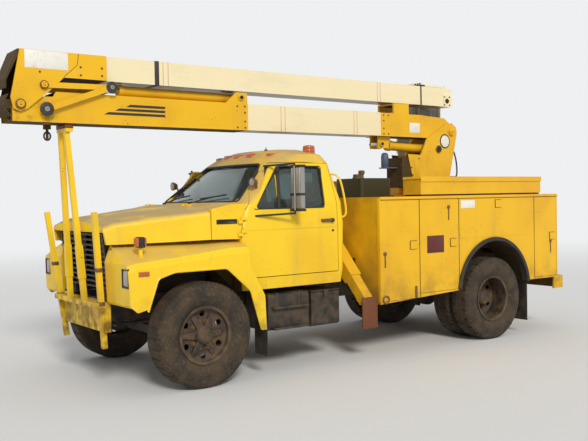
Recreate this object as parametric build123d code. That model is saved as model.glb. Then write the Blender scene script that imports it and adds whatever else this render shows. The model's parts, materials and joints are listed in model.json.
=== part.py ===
from build123d import *
import math
import os

# A bucket truck: a conventional cab, a service body with side compartments, and a
# turret that carries a folding boom of two sections. Millimetres; +X is forward,
# +Y the vehicle's left, +Z up, with the tyres standing at Z = 0.

# Wheels and axles
FRONT_AXLE_X = 2025.0
WHEELBASE = 4120.0
REAR_AXLE_X = FRONT_AXLE_X - WHEELBASE
TYRE_RADIUS = 515.0
TYRE_WIDTH = 270.0
RIM_RADIUS = 270.0
FRONT_TYRE_Y = 1015.0
REAR_TYRE_Y = 1055.0
TWIN_PITCH = 310.0
KINGPIN_Y = 800.0
KINGPIN_RADIUS = 22.0
KINGPIN_FIT = 0.8
SPINDLE_RADIUS = 42.0
RUNNING_FIT = 0.3

# Ladder frame
RAIL_OUTER_Y = 430.0
RAIL_BOTTOM = 640.0
RAIL_TOP = 880.0
RAIL_FLANGE = 80.0
RAIL_WEB = 10.0
FRAME_FRONT = FRONT_AXLE_X + 730.0
FRAME_REAR = FRONT_AXLE_X - 5370.0

# Cab
CAB_BACK = FRONT_AXLE_X - 1865.0
CAB_FRONT = FRONT_AXLE_X - 525.0
CAB_HALF = 975.0
CAB_BOTTOM = 884.0
CAB_WALL = 60.0
SILL_Z = 1712.0
BELT_Z = 1765.0
HEADER_Z = 2215.0
ROOF_TOP = 2368.0
DOOR_BOTTOM = 1012.0
PANEL_GAP = 8.0
GLASS = 6.0
DOOR_HINGE_Y = CAB_HALF + 12.0

# Front end
COWL_FRONT = FRONT_AXLE_X - 185.0
HOOD_HINGE = (COWL_FRONT + 4.0, 1776.0)
HOOD_FRONT = FRONT_AXLE_X + 830.0
SEAM_Z = 1415.0
SKIN = 22.0
DOOR_HINGES = (SEAM_Z + 30.0, SEAM_Z + 160.0)
HINGE_RADIUS = 8.0
FENDER_HALF = 1150.0
APRON = 14.0
APRON_BOTTOM = RAIL_TOP + 12.0
FENDER_FRONT = FRONT_AXLE_X + 770.0

# Service body
BODY_FRONT = FRONT_AXLE_X - 2200.0
BODY_REAR = FRONT_AXLE_X - 5400.0
STEP_REAR = FRONT_AXLE_X - 5610.0
BODY_HALF = 1200.0
BIN_INNER_Y = 770.0
BIN_TOP = 1815.0
BIN_WALL = 20.0
DOOR_TOP_Z = 1775.0
DOOR_THICKNESS = 25.0
DOOR_GAP = 5.0
ARCH_RADIUS = 645.0
ARCH_Z = 612.0
DECK_Z = 1120.0
DECK_THICKNESS = 20.0

# Chests on top of the compartments
CHEST_FRONT = FRONT_AXLE_X - 2890.0
CHEST_REAR = FRONT_AXLE_X - 5110.0
CHEST_INNER_Y = 862.0
CHEST_OUTER_Y = 1155.0
CHEST_BOTTOM = BIN_TOP + 20.0
CHEST_TOP = 2015.0
LID_THICKNESS = 30.0
LID_GAP = 6.0
LID_HINGE = (CHEST_INNER_Y + 1.0, CHEST_TOP - 3.5)

# Turret and booms
TURRET_X = FRONT_AXLE_X - 4090.0
BEARING_Z = 1930.0
BEARING_GAP = 0.5
BOOM_PIVOT = (FRONT_AXLE_X - 4485.0, 2693.0)
LIFT_BASE = (FRONT_AXLE_X - 4224.0, 2453.0)
LIFT_EYE = (FRONT_AXLE_X - 3252.0, 2504.0)
ELBOW_PIVOT = (FRONT_AXLE_X + 1417.0, 2761.0)
FOLD_BASE = (FRONT_AXLE_X - 1068.0, 2968.0)
FOLD_EYE = (FRONT_AXLE_X + 501.0, 2972.0)
DRIVE_PIN = (FRONT_AXLE_X + 1187.0, 2956.0)
GUIDE_PIN = (FRONT_AXLE_X + 1174.0, 2721.0)
TIP_PIVOT = (FRONT_AXLE_X - 4419.0, 3116.0)
CHEEK_OUTER_Y = 160.0
CHEEK_THICKNESS = 22.0
BOOM_HALF = 155.0
LOWER_BOTTOM = 2600.0
LOWER_TOP = 2905.0
UPPER_BOTTOM = 3040.0
UPPER_TOP = 3295.0
PIN_RADIUS = 30.0
SIDE_GAP = 6.0

# Bucket
BUCKET_INNER_Y = 262.0
BUCKET_WIDTH = 585.0
BUCKET_REAR = FRONT_AXLE_X - 4880.0
BUCKET_FRONT = FRONT_AXLE_X - 4250.0
BUCKET_TOP = 3405.0
BUCKET_DEPTH = 1060.0
BUCKET_WALL = 14.0

# Outriggers between cab and service body
OUTRIGGER_X = FRONT_AXLE_X - 2055.0
OUTRIGGER_SIZE = 120.0
OUTRIGGER_TILT = 47.0
OUTRIGGER_END = (1120.0, 655.0)

AXES = {"x": (1, 0, 0), "y": (0, 1, 0), "z": (0, 0, 1)}


def across(axis, along, a, b):
    """A point given along one axis and, in X, Y, Z order, along the other two."""
    rest = [a, b]
    return tuple(along if name == axis else rest.pop(0) for name in "xyz")


def block(x, y, z):
    """A box between the low and the high value on each axis."""
    spans = (x, y, z)
    centre = [(low + high) / 2 for low, high in spans]
    return Pos(*centre) * Box(*[high - low for low, high in spans])


def prism(axis, outline, low, high, radius=0.0):
    """A prism along an axis, the corners of its outline rounded if a radius is given."""
    face = make_face(Polyline(*[across(axis, low, a, b) for a, b in outline], close=True))
    if radius:
        face = fillet(face.vertices(), radius)
    return extrude(face, high - low, dir=AXES[axis])


def rod(axis, centre, radius, low, high):
    """A round bar along an axis, its centre given across that axis."""
    plane = Plane(origin=across(axis, low, *centre), z_dir=AXES[axis])
    return extrude(plane * Circle(radius), high - low)


def bar(start, end, width, depth, side=(0, 1, 0)):
    """A bar of rectangular section between two points, its width along the side given."""
    line = Vector(*end) - Vector(*start)
    plane = Plane(origin=start, x_dir=side, z_dir=line)
    return extrude(plane * Rectangle(width, depth), line.length)


def other_side(shape):
    """The shape's mirror image on the vehicle's right."""
    return mirror(shape, about=Plane.XZ)


def both_sides(shape):
    """The shape and its mirror image in one."""
    return Part() + [shape, other_side(shape)]


def turned(outline, x, y, z):
    """A ring about the wheel's axis, from an outline of (radius, distance along Y)."""
    face = make_face(Polyline(*[(x, y + along, z + radius) for radius, along in outline], close=True))
    return revolve(face, Axis((x, y, z), (0, 1, 0)))


# Chassis

def chassis_frame():
    """Two channel rails, their crossmembers, and the boxes that hang beside the cab."""
    rail = block((FRAME_REAR, FRAME_FRONT), (RAIL_OUTER_Y - RAIL_FLANGE, RAIL_OUTER_Y), (RAIL_BOTTOM, RAIL_TOP))
    rail -= block(
        (FRAME_REAR - 1, FRAME_FRONT + 1),
        (RAIL_OUTER_Y - RAIL_FLANGE - 1, RAIL_OUTER_Y - RAIL_WEB),
        (RAIL_BOTTOM + RAIL_WEB, RAIL_TOP - RAIL_WEB),
    )
    frame = both_sides(rail)
    member_y = RAIL_OUTER_Y - RAIL_WEB / 2
    # distance behind the front axle, length, bottom, top
    for behind, length, bottom, top in (
        (-690, 60, 670, 850), (30, 90, 645, 725), (1400, 60, 825, 870), (2000, 80, 790, 870),
        (3100, 60, 760, 870), (3560, 60, 760, 870), (4680, 60, 680, 840), (5330, 60, 650, 870),
    ):
        x = FRONT_AXLE_X - behind
        frame += block((x - length / 2, x + length / 2), (-member_y, member_y), (bottom, top))
    # front end, rear end and inner side behind the axle; bottom, top
    for front, rear, inner, outer, bottom, top in (
        (860, 1390, 500, 930, 430, 820),
        (1450, 1840, 520, 900, 410, 800),
    ):
        box = block((FRONT_AXLE_X - rear, FRONT_AXLE_X - front), (inner, outer), (bottom, top))
        box = fillet(box.edges().filter_by(Axis.X), 40)
        hanger = block(
            (FRONT_AXLE_X - rear + 60, FRONT_AXLE_X - front - 60),
            (RAIL_OUTER_Y - RAIL_WEB / 2, inner + 5),
            (RAIL_BOTTOM + 40, top - 60),
        )
        frame += both_sides(box + hanger)
    bracket_end = FENDER_FRONT - SKIN - RUNNING_FIT
    bracket = block((bracket_end - 45, bracket_end), (RAIL_OUTER_Y - 5, 720), (RAIL_TOP - 18, RAIL_TOP + 2))
    return frame + both_sides(bracket)


def engine():
    """The engine and gearbox as one plain mass, and the radiator behind the grille."""
    x = FRONT_AXLE_X
    mass = block((x - 490, x + 430), (-300, 300), (740, 1360))
    mass += block((x - 1150, x - 490), (-190, 190), (670, 870))
    radiator = block((x + 560, x + 640), (-400, 400), (960, 1500))
    hose = rod("x", (0, 1250), 45, x + 430, x + 560)
    feet = block((x + 100, x + 200), (-RAIL_OUTER_Y + RAIL_WEB, RAIL_OUTER_Y - RAIL_WEB), (760, 810))
    legs = both_sides(block((x + 580, x + 620), (330, 345), (RAIL_TOP, 965)))
    return mass + radiator + hose + feet + legs


def leaf_spring(x, y, span, eye_z, seat_z):
    """A pack of leaves: one bowed main leaf with its eyes and a short pack under it."""
    half = span / 2
    depth = 18.0
    width = 70.0
    outline = [
        ThreePointArc((x - half, y, eye_z), (x, y, seat_z), (x + half, y, eye_z)),
        Line((x + half, y, eye_z), (x + half, y, eye_z - depth)),
        ThreePointArc((x + half, y, eye_z - depth), (x, y, seat_z - depth), (x - half, y, eye_z - depth)),
        Line((x - half, y, eye_z - depth), (x - half, y, eye_z)),
    ]
    main = extrude(make_face(outline), width / 2, both=True)
    short = half * 0.6
    top = depth - 3
    rise = (eye_z - seat_z) * 0.36
    pack = [
        ThreePointArc((x - short, y, seat_z + rise - top), (x, y, seat_z - top), (x + short, y, seat_z + rise - top)),
        Line((x + short, y, seat_z + rise - top), (x + short * 0.6, y, seat_z - 2.6 * depth)),
        Line((x + short * 0.6, y, seat_z - 2.6 * depth), (x - short * 0.6, y, seat_z - 2.6 * depth)),
        Line((x - short * 0.6, y, seat_z - 2.6 * depth), (x - short, y, seat_z + rise - top)),
    ]
    main += extrude(make_face(pack), width / 2, both=True)
    for end in (-half, half):
        main += rod("y", (x + end, eye_z - depth / 2), 26, y - width / 2, y + width / 2)
        main += block((x + end - 16, x + end + 16), (y - width / 2, y + width / 2), (eye_z, RAIL_BOTTOM))
    return main


def front_axle():
    """The dropped beam with its kingpin bosses, on two leaf springs."""
    x = FRONT_AXLE_X
    z = TYRE_RADIUS
    outline = [
        (-KINGPIN_Y + 30, z - 45), (-560, z - 120), (560, z - 120), (KINGPIN_Y - 30, z - 45),
        (KINGPIN_Y - 30, z + 45), (540, z - 30), (-540, z - 30), (-KINGPIN_Y + 30, z + 45),
    ]
    axle = prism("x", outline, x - 45, x + 45)
    boss = rod("z", (x, KINGPIN_Y), 48, z - 60, z + 60)
    axle += both_sides(boss)
    axle -= both_sides(rod("z", (x, KINGPIN_Y), KINGPIN_RADIUS + KINGPIN_FIT, z - 70, z + 70))
    spring_y = RAIL_OUTER_Y - 45
    seat = z + 50
    axle += both_sides(leaf_spring(x, spring_y, 1180, RAIL_BOTTOM - 30, seat + 48))
    axle += both_sides(block((x - 60, x + 60), (spring_y - 45, spring_y + 45), (z - 60, seat + 10)))
    return axle


def rear_axle():
    """The drive axle with its differential, two leaf springs and the propeller shaft."""
    x = REAR_AXLE_X
    z = TYRE_RADIUS
    axle = rod("y", (x, z), 62, -640, 640)
    axle += both_sides(rod("y", (x, z), SPINDLE_RADIUS, 630, REAR_TYRE_Y - TWIN_PITCH / 2 + 90))
    housing = [
        (0, -150), (62, -150), (150, -105), (190, -45), (190, 45), (150, 105), (62, 150), (0, 150),
    ]
    axle += turned(housing, x, 0, z)
    axle += rod("x", (0, z), 70, x + 100, x + 300)
    spring_y = RAIL_OUTER_Y - 45
    axle += both_sides(leaf_spring(x, spring_y, 1300, RAIL_BOTTOM - 30, z + 98))
    axle += both_sides(block((x - 60, x + 60), (spring_y - 45, spring_y + 45), (z - 60, z + 60)))
    shaft_end = FRONT_AXLE_X - 1150.0 - RUNNING_FIT
    yoke_z = 770.0
    axle += cylinder_tube((x + 280, z), (shaft_end - 60, yoke_z), 0, math.dist((x + 280, z), (shaft_end - 60, yoke_z)), 45)
    axle += rod("x", (0, yoke_z), 55, shaft_end - 80, shaft_end)
    return axle


def knuckle():
    """The left steering knuckle: two ears on the kingpin, a back plate and the spindle."""
    x = FRONT_AXLE_X
    z = TYRE_RADIUS
    pin = rod("z", (x, KINGPIN_Y), KINGPIN_RADIUS, z - 95, z + 95)
    ears = Part()
    for low, high in ((62, 92), (-92, -62)):
        ears += block((x - 45, x + 45), (KINGPIN_Y - 40, KINGPIN_Y + 85), (z + low, z + high))
    web = block((x - 60, x + 60), (KINGPIN_Y + 54, KINGPIN_Y + 85), (z - 92, z + 92))
    plate = rod("y", (x, z), 200, KINGPIN_Y + 85, KINGPIN_Y + 97)
    spindle = rod("y", (x, z), SPINDLE_RADIUS, KINGPIN_Y + 90, FRONT_TYRE_Y + 70)
    return pin + ears + web + plate + spindle


def tyre(y, x):
    """A tyre: sidewalls that bulge past the bead, and a flat tread."""
    half = TYRE_WIDTH / 2
    flank = [
        (RIM_RADIUS + RUNNING_FIT, 0.74), (RIM_RADIUS + 25, 0.76), (RIM_RADIUS + 60, 0.93),
        (RIM_RADIUS + 105, 1.0), (RIM_RADIUS + 150, 0.99), (TYRE_RADIUS - 50, 0.94),
        (TYRE_RADIUS - 16, 0.86), (TYRE_RADIUS, 0.74),
    ]
    outline = [(radius, -half * share) for radius, share in flank]
    outline += [(radius, half * share) for radius, share in reversed(flank)]
    return turned(outline, x, y, TYRE_RADIUS)


def rim_ring(centre, inner, disc):
    """The outline of one rim: its barrel with two flanges, and the disc at a place in it."""
    edge = TYRE_WIDTH * 0.385 + centre
    back = -TYRE_WIDTH * 0.385 + centre
    return [
        (inner, disc), (RIM_RADIUS - 60, disc + 8), (RIM_RADIUS - 14, disc + 30), (RIM_RADIUS - 14, edge + 4),
        (RIM_RADIUS + 14, edge + 10), (RIM_RADIUS + 14, edge), (RIM_RADIUS, edge - 4),
        (RIM_RADIUS, back + 4), (RIM_RADIUS + 14, back), (RIM_RADIUS + 14, back - 10),
        (RIM_RADIUS - 14, back - 4), (RIM_RADIUS - 14, disc + 14), (RIM_RADIUS - 60, disc - 6), (inner, disc - 14),
    ]


def hand_holes(shape, x, y, count, circle, radius, low, high):
    """The shape with round holes in a circle about the wheel's axis."""
    for number in range(count):
        angle = math.radians(360 / count * (number + 0.5))
        centre = (x + circle * math.cos(angle), TYRE_RADIUS + circle * math.sin(angle))
        shape -= rod("y", centre, radius, y + low, y + high)
    return shape


def front_rim():
    """The left front wheel: a disc set out in its rim, a hub and a ring of hand holes."""
    x = FRONT_AXLE_X
    y = FRONT_TYRE_Y
    rim = turned(rim_ring(0, 100, 35), x, y, TYRE_RADIUS)
    rim = hand_holes(rim, x, y, 6, 205, 30, 20, 75)
    bore = SPINDLE_RADIUS + RUNNING_FIT
    hub = [
        (bore, -90), (90, -90), (110, -60), (110, 20), (160, 24), (160, 44), (100, 48), (85, 95), (70, 108),
        (0, 108), (0, 76), (bore, 76),
    ]
    rim += turned(hub, x, y, TYRE_RADIUS)
    for number in range(10):
        angle = math.radians(36 * number)
        centre = (x + 135 * math.cos(angle), TYRE_RADIUS + 135 * math.sin(angle))
        rim += rod("y", centre, 14, y + 40, y + 62)
    return rim


def rear_rims():
    """The left rear twin wheels, bolted face to face on one hub."""
    x = REAR_AXLE_X
    y = REAR_TYRE_Y - TWIN_PITCH / 2
    offset = TWIN_PITCH / 2
    outer = turned(rim_ring(offset, 100, 14), x, y, TYRE_RADIUS)
    inner_ring = [(radius, -along) for radius, along in rim_ring(offset, 100, 14)]
    inner = turned(inner_ring, x, y, TYRE_RADIUS)
    bore = SPINDLE_RADIUS + RUNNING_FIT
    hub = [
        (bore, -120), (95, -120), (118, -90), (118, 20), (165, 12), (165, 26), (110, 34), (98, 120), (80, 145),
        (0, 145), (0, 96), (bore, 96),
    ]
    rims = outer + inner + turned(hub, x, y, TYRE_RADIUS)
    rims = hand_holes(rims, x, y, 6, 205, 30, -60, 60)
    for number in range(10):
        angle = math.radians(36 * number)
        centre = (x + 140 * math.cos(angle), TYRE_RADIUS + 140 * math.sin(angle))
        rims += rod("y", centre, 14, y + 20, y + 50)
    return rims


# Cab

# height, back, front, half width, bow of the front, front and rear corner radius
CAB_SECTIONS = (
    (CAB_BOTTOM, CAB_BACK + 20, CAB_FRONT, CAB_HALF - 12, 6, 50, 50),
    (1020.0, CAB_BACK, CAB_FRONT, CAB_HALF, 6, 50, 50),
    (1537.0, CAB_BACK - 12, CAB_FRONT, CAB_HALF + 5, 6, 50, 50),
    (BELT_Z, CAB_BACK - 5, CAB_FRONT - 25, CAB_HALF - 8, 110, 140, 70),
    (HEADER_Z, CAB_BACK + 40, CAB_FRONT - 525, CAB_HALF - 165, 60, 260, 110),
    (2305.0, CAB_BACK + 75, CAB_FRONT - 655, CAB_HALF - 235, 80, 260, 130),
    (ROOF_TOP, CAB_BACK + 230, CAB_FRONT - 800, CAB_HALF - 480, 60, 100, 70),
)


def cab_outline(height, back, front, half, bow, fore, aft):
    """The cab's plan at one height: straight sides, rounded corners and a bowed front."""
    left = [
        (back, half - aft), (back + aft * (1 - math.sqrt(0.5)), half - aft * (1 - math.sqrt(0.5))), (back + aft, half),
        (front - fore, half), (front - fore * (1 - math.sqrt(0.5)), half - fore * (1 - math.sqrt(0.5))),
        (front, half - fore),
    ]
    rear, rear_mid, side_rear, side_front, front_mid, nose = [(x, y, height) for x, y in left]
    r_rear, r_rear_mid, r_side_rear, r_side_front, r_front_mid, r_nose = [(x, -y, height) for x, y in left]
    return Wire([
        Edge.make_line(side_rear, side_front),
        Edge.make_three_point_arc(side_front, front_mid, nose),
        Edge.make_three_point_arc(nose, (front + bow, 0, height), r_nose),
        Edge.make_three_point_arc(r_nose, r_front_mid, r_side_front),
        Edge.make_line(r_side_front, r_side_rear),
        Edge.make_three_point_arc(r_side_rear, r_rear_mid, r_rear),
        Edge.make_line(r_rear, rear),
        Edge.make_three_point_arc(rear, rear_mid, side_rear),
    ])


def cab_form(inset, floor=0.0, roof=0.0):
    """The cab's outer form drawn in by an inset all round, its floor raised, its roof lowered."""
    wires = []
    for height, back, front, half, bow, fore, aft in CAB_SECTIONS:
        if height == CAB_BOTTOM:
            height += floor
        if height > HEADER_Z:
            height -= roof
        fore = max(fore - inset, 10)
        aft = max(aft - inset, 10)
        wires.append(cab_outline(height, back + inset, front - inset, half - inset, bow, fore, aft))
    return Part() + Solid.make_loft(wires, ruled=True)


DOOR_OUTLINE = [
    (CAB_BACK + 90, DOOR_BOTTOM), (CAB_FRONT - 135, DOOR_BOTTOM), (CAB_FRONT, DOOR_BOTTOM + 150),
    (CAB_FRONT, SEAM_Z), (CAB_FRONT - 38, 1662), (CAB_FRONT - 207, 1910),
    (CAB_FRONT - 521, HEADER_Z - 15), (CAB_BACK + 100, HEADER_Z - 15),
]
WINDOW_OUTLINE = [
    (CAB_BACK + 258, SILL_Z), (CAB_FRONT - 154, SILL_Z), (CAB_FRONT - 487, HEADER_Z - 50),
    (CAB_BACK + 203, HEADER_Z - 50),
]
VENT_BAR = (CAB_FRONT - 480.0, CAB_FRONT - 540.0)
WINDSHIELD_HALF_BASE = CAB_HALF - 145.0
WINDSHIELD_HALF_TOP = CAB_HALF - 400.0
WINDSHIELD_BASE = BELT_Z + 25.0
REAR_WINDOW = ((-520, 520), (SILL_Z + 20, HEADER_Z - 90))


def around(outline, gap):
    """A closed outline with every side moved outwards by a gap, or inwards if it is negative."""
    pairs = list(zip(outline, outline[1:] + outline[:1]))
    area = sum(a[0] * b[1] - b[0] * a[1] for a, b in pairs)
    turn = math.copysign(1.0, area)
    normals = []
    for (ax, az), (bx, bz) in pairs:
        length = math.hypot(bx - ax, bz - az)
        normals.append((turn * (bz - az) / length, turn * (ax - bx) / length))
    moved = []
    for index, (px, pz) in enumerate(outline):
        (nx, nz), (mx, mz) = normals[index - 1], normals[index]
        share = gap / (1 + nx * mx + nz * mz)
        moved.append((px + share * (nx + mx), pz + share * (nz + mz)))
    return moved


def door_space(gap, radius):
    """The room of the left door, grown by a gap: deep at the window, shallow at the front wall."""
    outline = around(DOOR_OUTLINE, gap) if gap else DOOR_OUTLINE
    space = prism("y", outline, CAB_HALF - 320 - gap, CAB_HALF + 100, radius)
    return space - block(
        (CAB_FRONT - 120, CAB_FRONT + 20), (CAB_HALF - 340, CAB_HALF - 105 - gap),
        (DOOR_BOTTOM - 20, WINDSHIELD_BASE - 35 - gap),
    )


def windshield_opening(grow):
    """A prism through the bowed front, for the windshield or for its opening."""
    outline = [
        (-WINDSHIELD_HALF_BASE - grow, WINDSHIELD_BASE - grow), (WINDSHIELD_HALF_BASE + grow, WINDSHIELD_BASE - grow),
        (WINDSHIELD_HALF_TOP + grow, HEADER_Z - 20 + grow), (-WINDSHIELD_HALF_TOP - grow, HEADER_Z - 20 + grow),
    ]
    return prism("x", outline, CAB_FRONT - 640, CAB_FRONT + 200, 60)


def rear_opening(grow):
    """A prism through the cab's back for the rear window."""
    (low_y, high_y), (low_z, high_z) = REAR_WINDOW
    outline = [
        (low_y - grow, low_z - grow), (high_y + grow, low_z - grow), (high_y + grow, high_z + grow),
        (low_y - grow, high_z + grow),
    ]
    return prism("x", outline, CAB_BACK - 60, CAB_BACK + 160, 50)


def cab_shell():
    """Roof, back, floor, pillars and cowl in one, with door and window openings."""
    cavity = cab_form(CAB_WALL, floor=CAB_WALL, roof=CAB_WALL - 15)
    cowl_half = CAB_HALF - 12
    cowl = prism(
        "y",
        [(CAB_FRONT - 50, SEAM_Z), (COWL_FRONT, SEAM_Z + 8), (COWL_FRONT, SILL_Z + 15), (CAB_FRONT + 110, BELT_Z + 8),
         (CAB_FRONT - 50, BELT_Z + 8)],
        -cowl_half, cowl_half,
    )
    cowl -= prism(
        "y",
        [(CAB_FRONT + SKIN, SEAM_Z + SKIN), (COWL_FRONT - SKIN, SEAM_Z + SKIN + 8), (COWL_FRONT - SKIN, SILL_Z - SKIN),
         (CAB_FRONT + SKIN, SILL_Z)],
        SKIN - cowl_half, cowl_half - SKIN,
    )
    shell = cab_form(0) + (cowl - cavity) - cavity
    shell -= both_sides(door_space(PANEL_GAP, 20))
    shell -= windshield_opening(0)
    shell -= rear_opening(0)
    for x in (CAB_BACK + 150, CAB_FRONT - 250):
        shell += block((x - 40, x + 40), (-RAIL_OUTER_Y + 10, RAIL_OUTER_Y - 10), (RAIL_TOP, CAB_BOTTOM + 10))
    hinges = Part()
    for z in DOOR_HINGES:
        hinges += rod("z", (CAB_FRONT, DOOR_HINGE_Y), HINGE_RADIUS, z, z + 30)
        hinges += block((CAB_FRONT, CAB_FRONT + 40), (cowl_half - 5, DOOR_HINGE_Y + 4), (z, z + 30))
    hood_x, hood_z = HOOD_HINGE
    for y in (380, 440):
        hinges += rod("y", (hood_x, hood_z), HINGE_RADIUS, y, y + 20)
        hinges += block((hood_x - 60, hood_x), (y, y + 20), (SILL_Z, hood_z + 4))
    return shell + both_sides(hinges)


def cab_glass():
    """The bowed windshield and the flat rear window, each set in the middle of its wall."""
    sheet = cab_form(CAB_WALL / 2) - cab_form(CAB_WALL / 2 + GLASS)
    front = sheet & windshield_opening(-RUNNING_FIT)
    rear = sheet & rear_opening(-RUNNING_FIT)
    return Part() + [front, rear]


def cab_door():
    """The left door, as thick as the cab's wall, with its window opening and the vent bar."""
    wall = cab_form(0) - cab_form(CAB_WALL)
    low_y = CAB_HALF - 320
    high_y = CAB_HALF + 100
    door = wall & door_space(0, 12)
    door -= prism("y", WINDOW_OUTLINE, low_y, high_y, 40)
    middle = cab_form(CAB_WALL * 0.35) - cab_form(CAB_WALL * 0.75)
    door += middle & prism("y", vent_bar(0), low_y, high_y)
    door -= windshield_opening(30)
    rear_strip = block((CAB_BACK, CAB_BACK + 115), (low_y, high_y), (DOOR_BOTTOM - 5, HEADER_Z))
    door -= cab_form(CAB_WALL * 0.35) & rear_strip
    for z in DOOR_HINGES:
        door += rod("z", (CAB_FRONT, DOOR_HINGE_Y), HINGE_RADIUS, z + 30 + RUNNING_FIT, z + 60)
        door += block((CAB_FRONT - 62, CAB_FRONT), (CAB_HALF - 6, DOOR_HINGE_Y + 4), (z + 30 + RUNNING_FIT, z + 60))
    handle_x = CAB_BACK + 235
    door += block((handle_x - 75, handle_x + 75), (CAB_HALF - 5, CAB_HALF + 28), (1560, 1585))
    return door


def vent_bar(grow):
    """The outline of the bar between the vent window and the door's main pane."""
    half = 12 + grow
    low_x, high_x = VENT_BAR
    return [
        (low_x - half, SILL_Z - 5), (low_x + half, SILL_Z - 5), (high_x + half, HEADER_Z - 45),
        (high_x - half, HEADER_Z - 45),
    ]


def door_glass():
    """The left door's pane and its vent window, in the middle of the door's thickness."""
    sheet = cab_form(CAB_WALL / 2) - cab_form(CAB_WALL / 2 + GLASS)
    low_y = CAB_HALF - 320
    high_y = CAB_HALF + 100
    pane = sheet & prism("y", around(WINDOW_OUTLINE, -RUNNING_FIT), low_y, high_y, 40)
    return pane - prism("y", vent_bar(RUNNING_FIT), low_y, high_y)


def mirror_arm():
    """The left mirror: a tall head on two arms from the door."""
    head_x = FRONT_AXLE_X - 1150.0
    head_y = CAB_HALF + 125
    head = block((head_x - 28, head_x + 22), (head_y - 85, head_y + 85), (1700, 2150))
    head = fillet(head.edges().filter_by(Axis.X), 20)
    post = rod("z", (head_x + 40, head_y), 11, 1650, 2190)
    lug = block((head_x + 20, head_x + 42), (head_y - 12, head_y + 12), (1900, 1960))
    arms = bar((head_x + 40, head_y, 1662), (CAB_FRONT - 110, CAB_HALF - 30, 1640), 20, 20)
    arms += bar((head_x + 40, head_y, 2180), (CAB_FRONT - 410, CAB_HALF - 190, HEADER_Z - 50), 20, 20)
    return head + post + lug + (arms - cab_form(-RUNNING_FIT))


def cab_interior():
    """Bench seat, dashboard and steering wheel."""
    seat_x = CAB_BACK + CAB_WALL + 110
    half = CAB_HALF - CAB_WALL - 45
    base = block((seat_x, seat_x + 480), (-half, half), (CAB_BOTTOM + CAB_WALL + 0.3, 1230))
    back = prism(
        "y",
        [(seat_x, 1230), (seat_x + 130, 1230), (seat_x + 60, 1780), (seat_x - 60, 1780)], -half, half,
    )
    seat = base + back
    dash_x = CAB_FRONT - CAB_WALL - 45
    dash = block((dash_x - 260, dash_x), (-half + 10, half - 10), (1400, 1660))
    dash = fillet(dash.edges().filter_by(Axis.Y), 40)
    column = bar((dash_x - 200, 420, 1500), (dash_x - 420, 420, 1580), 60, 60)
    pedals = bar((dash_x - 130, 0, 1410), (dash_x - 130, 0, CAB_BOTTOM + CAB_WALL + 0.3), 220, 60)
    hub = Vector(dash_x - 420, 420, 1580)
    plane = Plane(origin=hub, z_dir=Vector(-220, 0, 80))
    wheel = plane * Torus(215, 16)
    for angle in (0, 120, 240):
        spoke = Vector(215, 0, 0).rotate(Axis.Z, angle)
        wheel += bar(hub, plane.from_local_coords(spoke), 26, 14)
    return Part() + [seat, dash + column + pedals + wheel]


# Front end

def hood_outline(x, half, edge, crown, seam):
    """The hood's section at one place along it: upright sides and a crowned top."""
    return Wire([
        Edge.make_line((x, half, seam), (x, half - 10, edge - 50)),
        Edge.make_three_point_arc((x, half - 10, edge - 50), (x, half - 28, edge - 12), (x, half - 75, edge + 6)),
        Edge.make_three_point_arc((x, half - 75, edge + 6), (x, 0, crown), (x, 75 - half, edge + 6)),
        Edge.make_three_point_arc((x, 75 - half, edge + 6), (x, 28 - half, edge - 12), (x, 10 - half, edge - 50)),
        Edge.make_line((x, 10 - half, edge - 50), (x, -half, seam)),
        Edge.make_line((x, -half, seam), (x, half, seam)),
    ])


# distance behind the hood's front, half width, edge height, crown height, seam height
HOOD_SECTIONS = (
    (0.0, 690.0, 1575.0, 1625.0, SEAM_Z - 5),
    (110.0, 735.0, 1618.0, 1672.0, SEAM_Z - 5),
    (620.0, 860.0, 1672.0, 1735.0, SEAM_Z),
    (HOOD_FRONT - COWL_FRONT - PANEL_GAP, CAB_HALF - 15, 1712.0, 1778.0, SEAM_Z + 8),
)


def hood_form(inset, start=0.0):
    """The hood's form, drawn in by an inset and closed underneath at its seam."""
    wires = []
    for behind, half, edge, crown, seam in HOOD_SECTIONS:
        x = HOOD_FRONT - max(behind, start)
        wires.append(hood_outline(x, half - inset, edge - inset, crown - inset, seam - (200 if inset else 0)))
    return Part() + Solid.make_loft(wires, ruled=True)


def hood():
    """A crowned sheet with upright sides and a short nose, open underneath."""
    shell = hood_form(0) - hood_form(SKIN, 25)
    grille_cut = prism(
        "y", [(HOOD_FRONT - 300, 1300), (HOOD_FRONT + 50, 1300), (HOOD_FRONT + 50, 1525), (HOOD_FRONT - 300, 1525)],
        -660, 660,
    )
    shell -= grille_cut
    slant = prism(
        "y", [(HOOD_FRONT + 20, 1300), (HOOD_FRONT + 20, 1540), (HOOD_FRONT, 1540), (HOOD_FRONT - 45, 1300)],
        -900, 900,
    )
    shell -= slant
    hood_x, hood_z = HOOD_HINGE
    knuckle_y = (400 + RUNNING_FIT, 440 - RUNNING_FIT)
    hinge = rod("y", (hood_x, hood_z), HINGE_RADIUS, *knuckle_y)
    hinge += block((hood_x, hood_x + 40), knuckle_y, (1750, hood_z + 4))
    return shell + both_sides(hinge)


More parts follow.
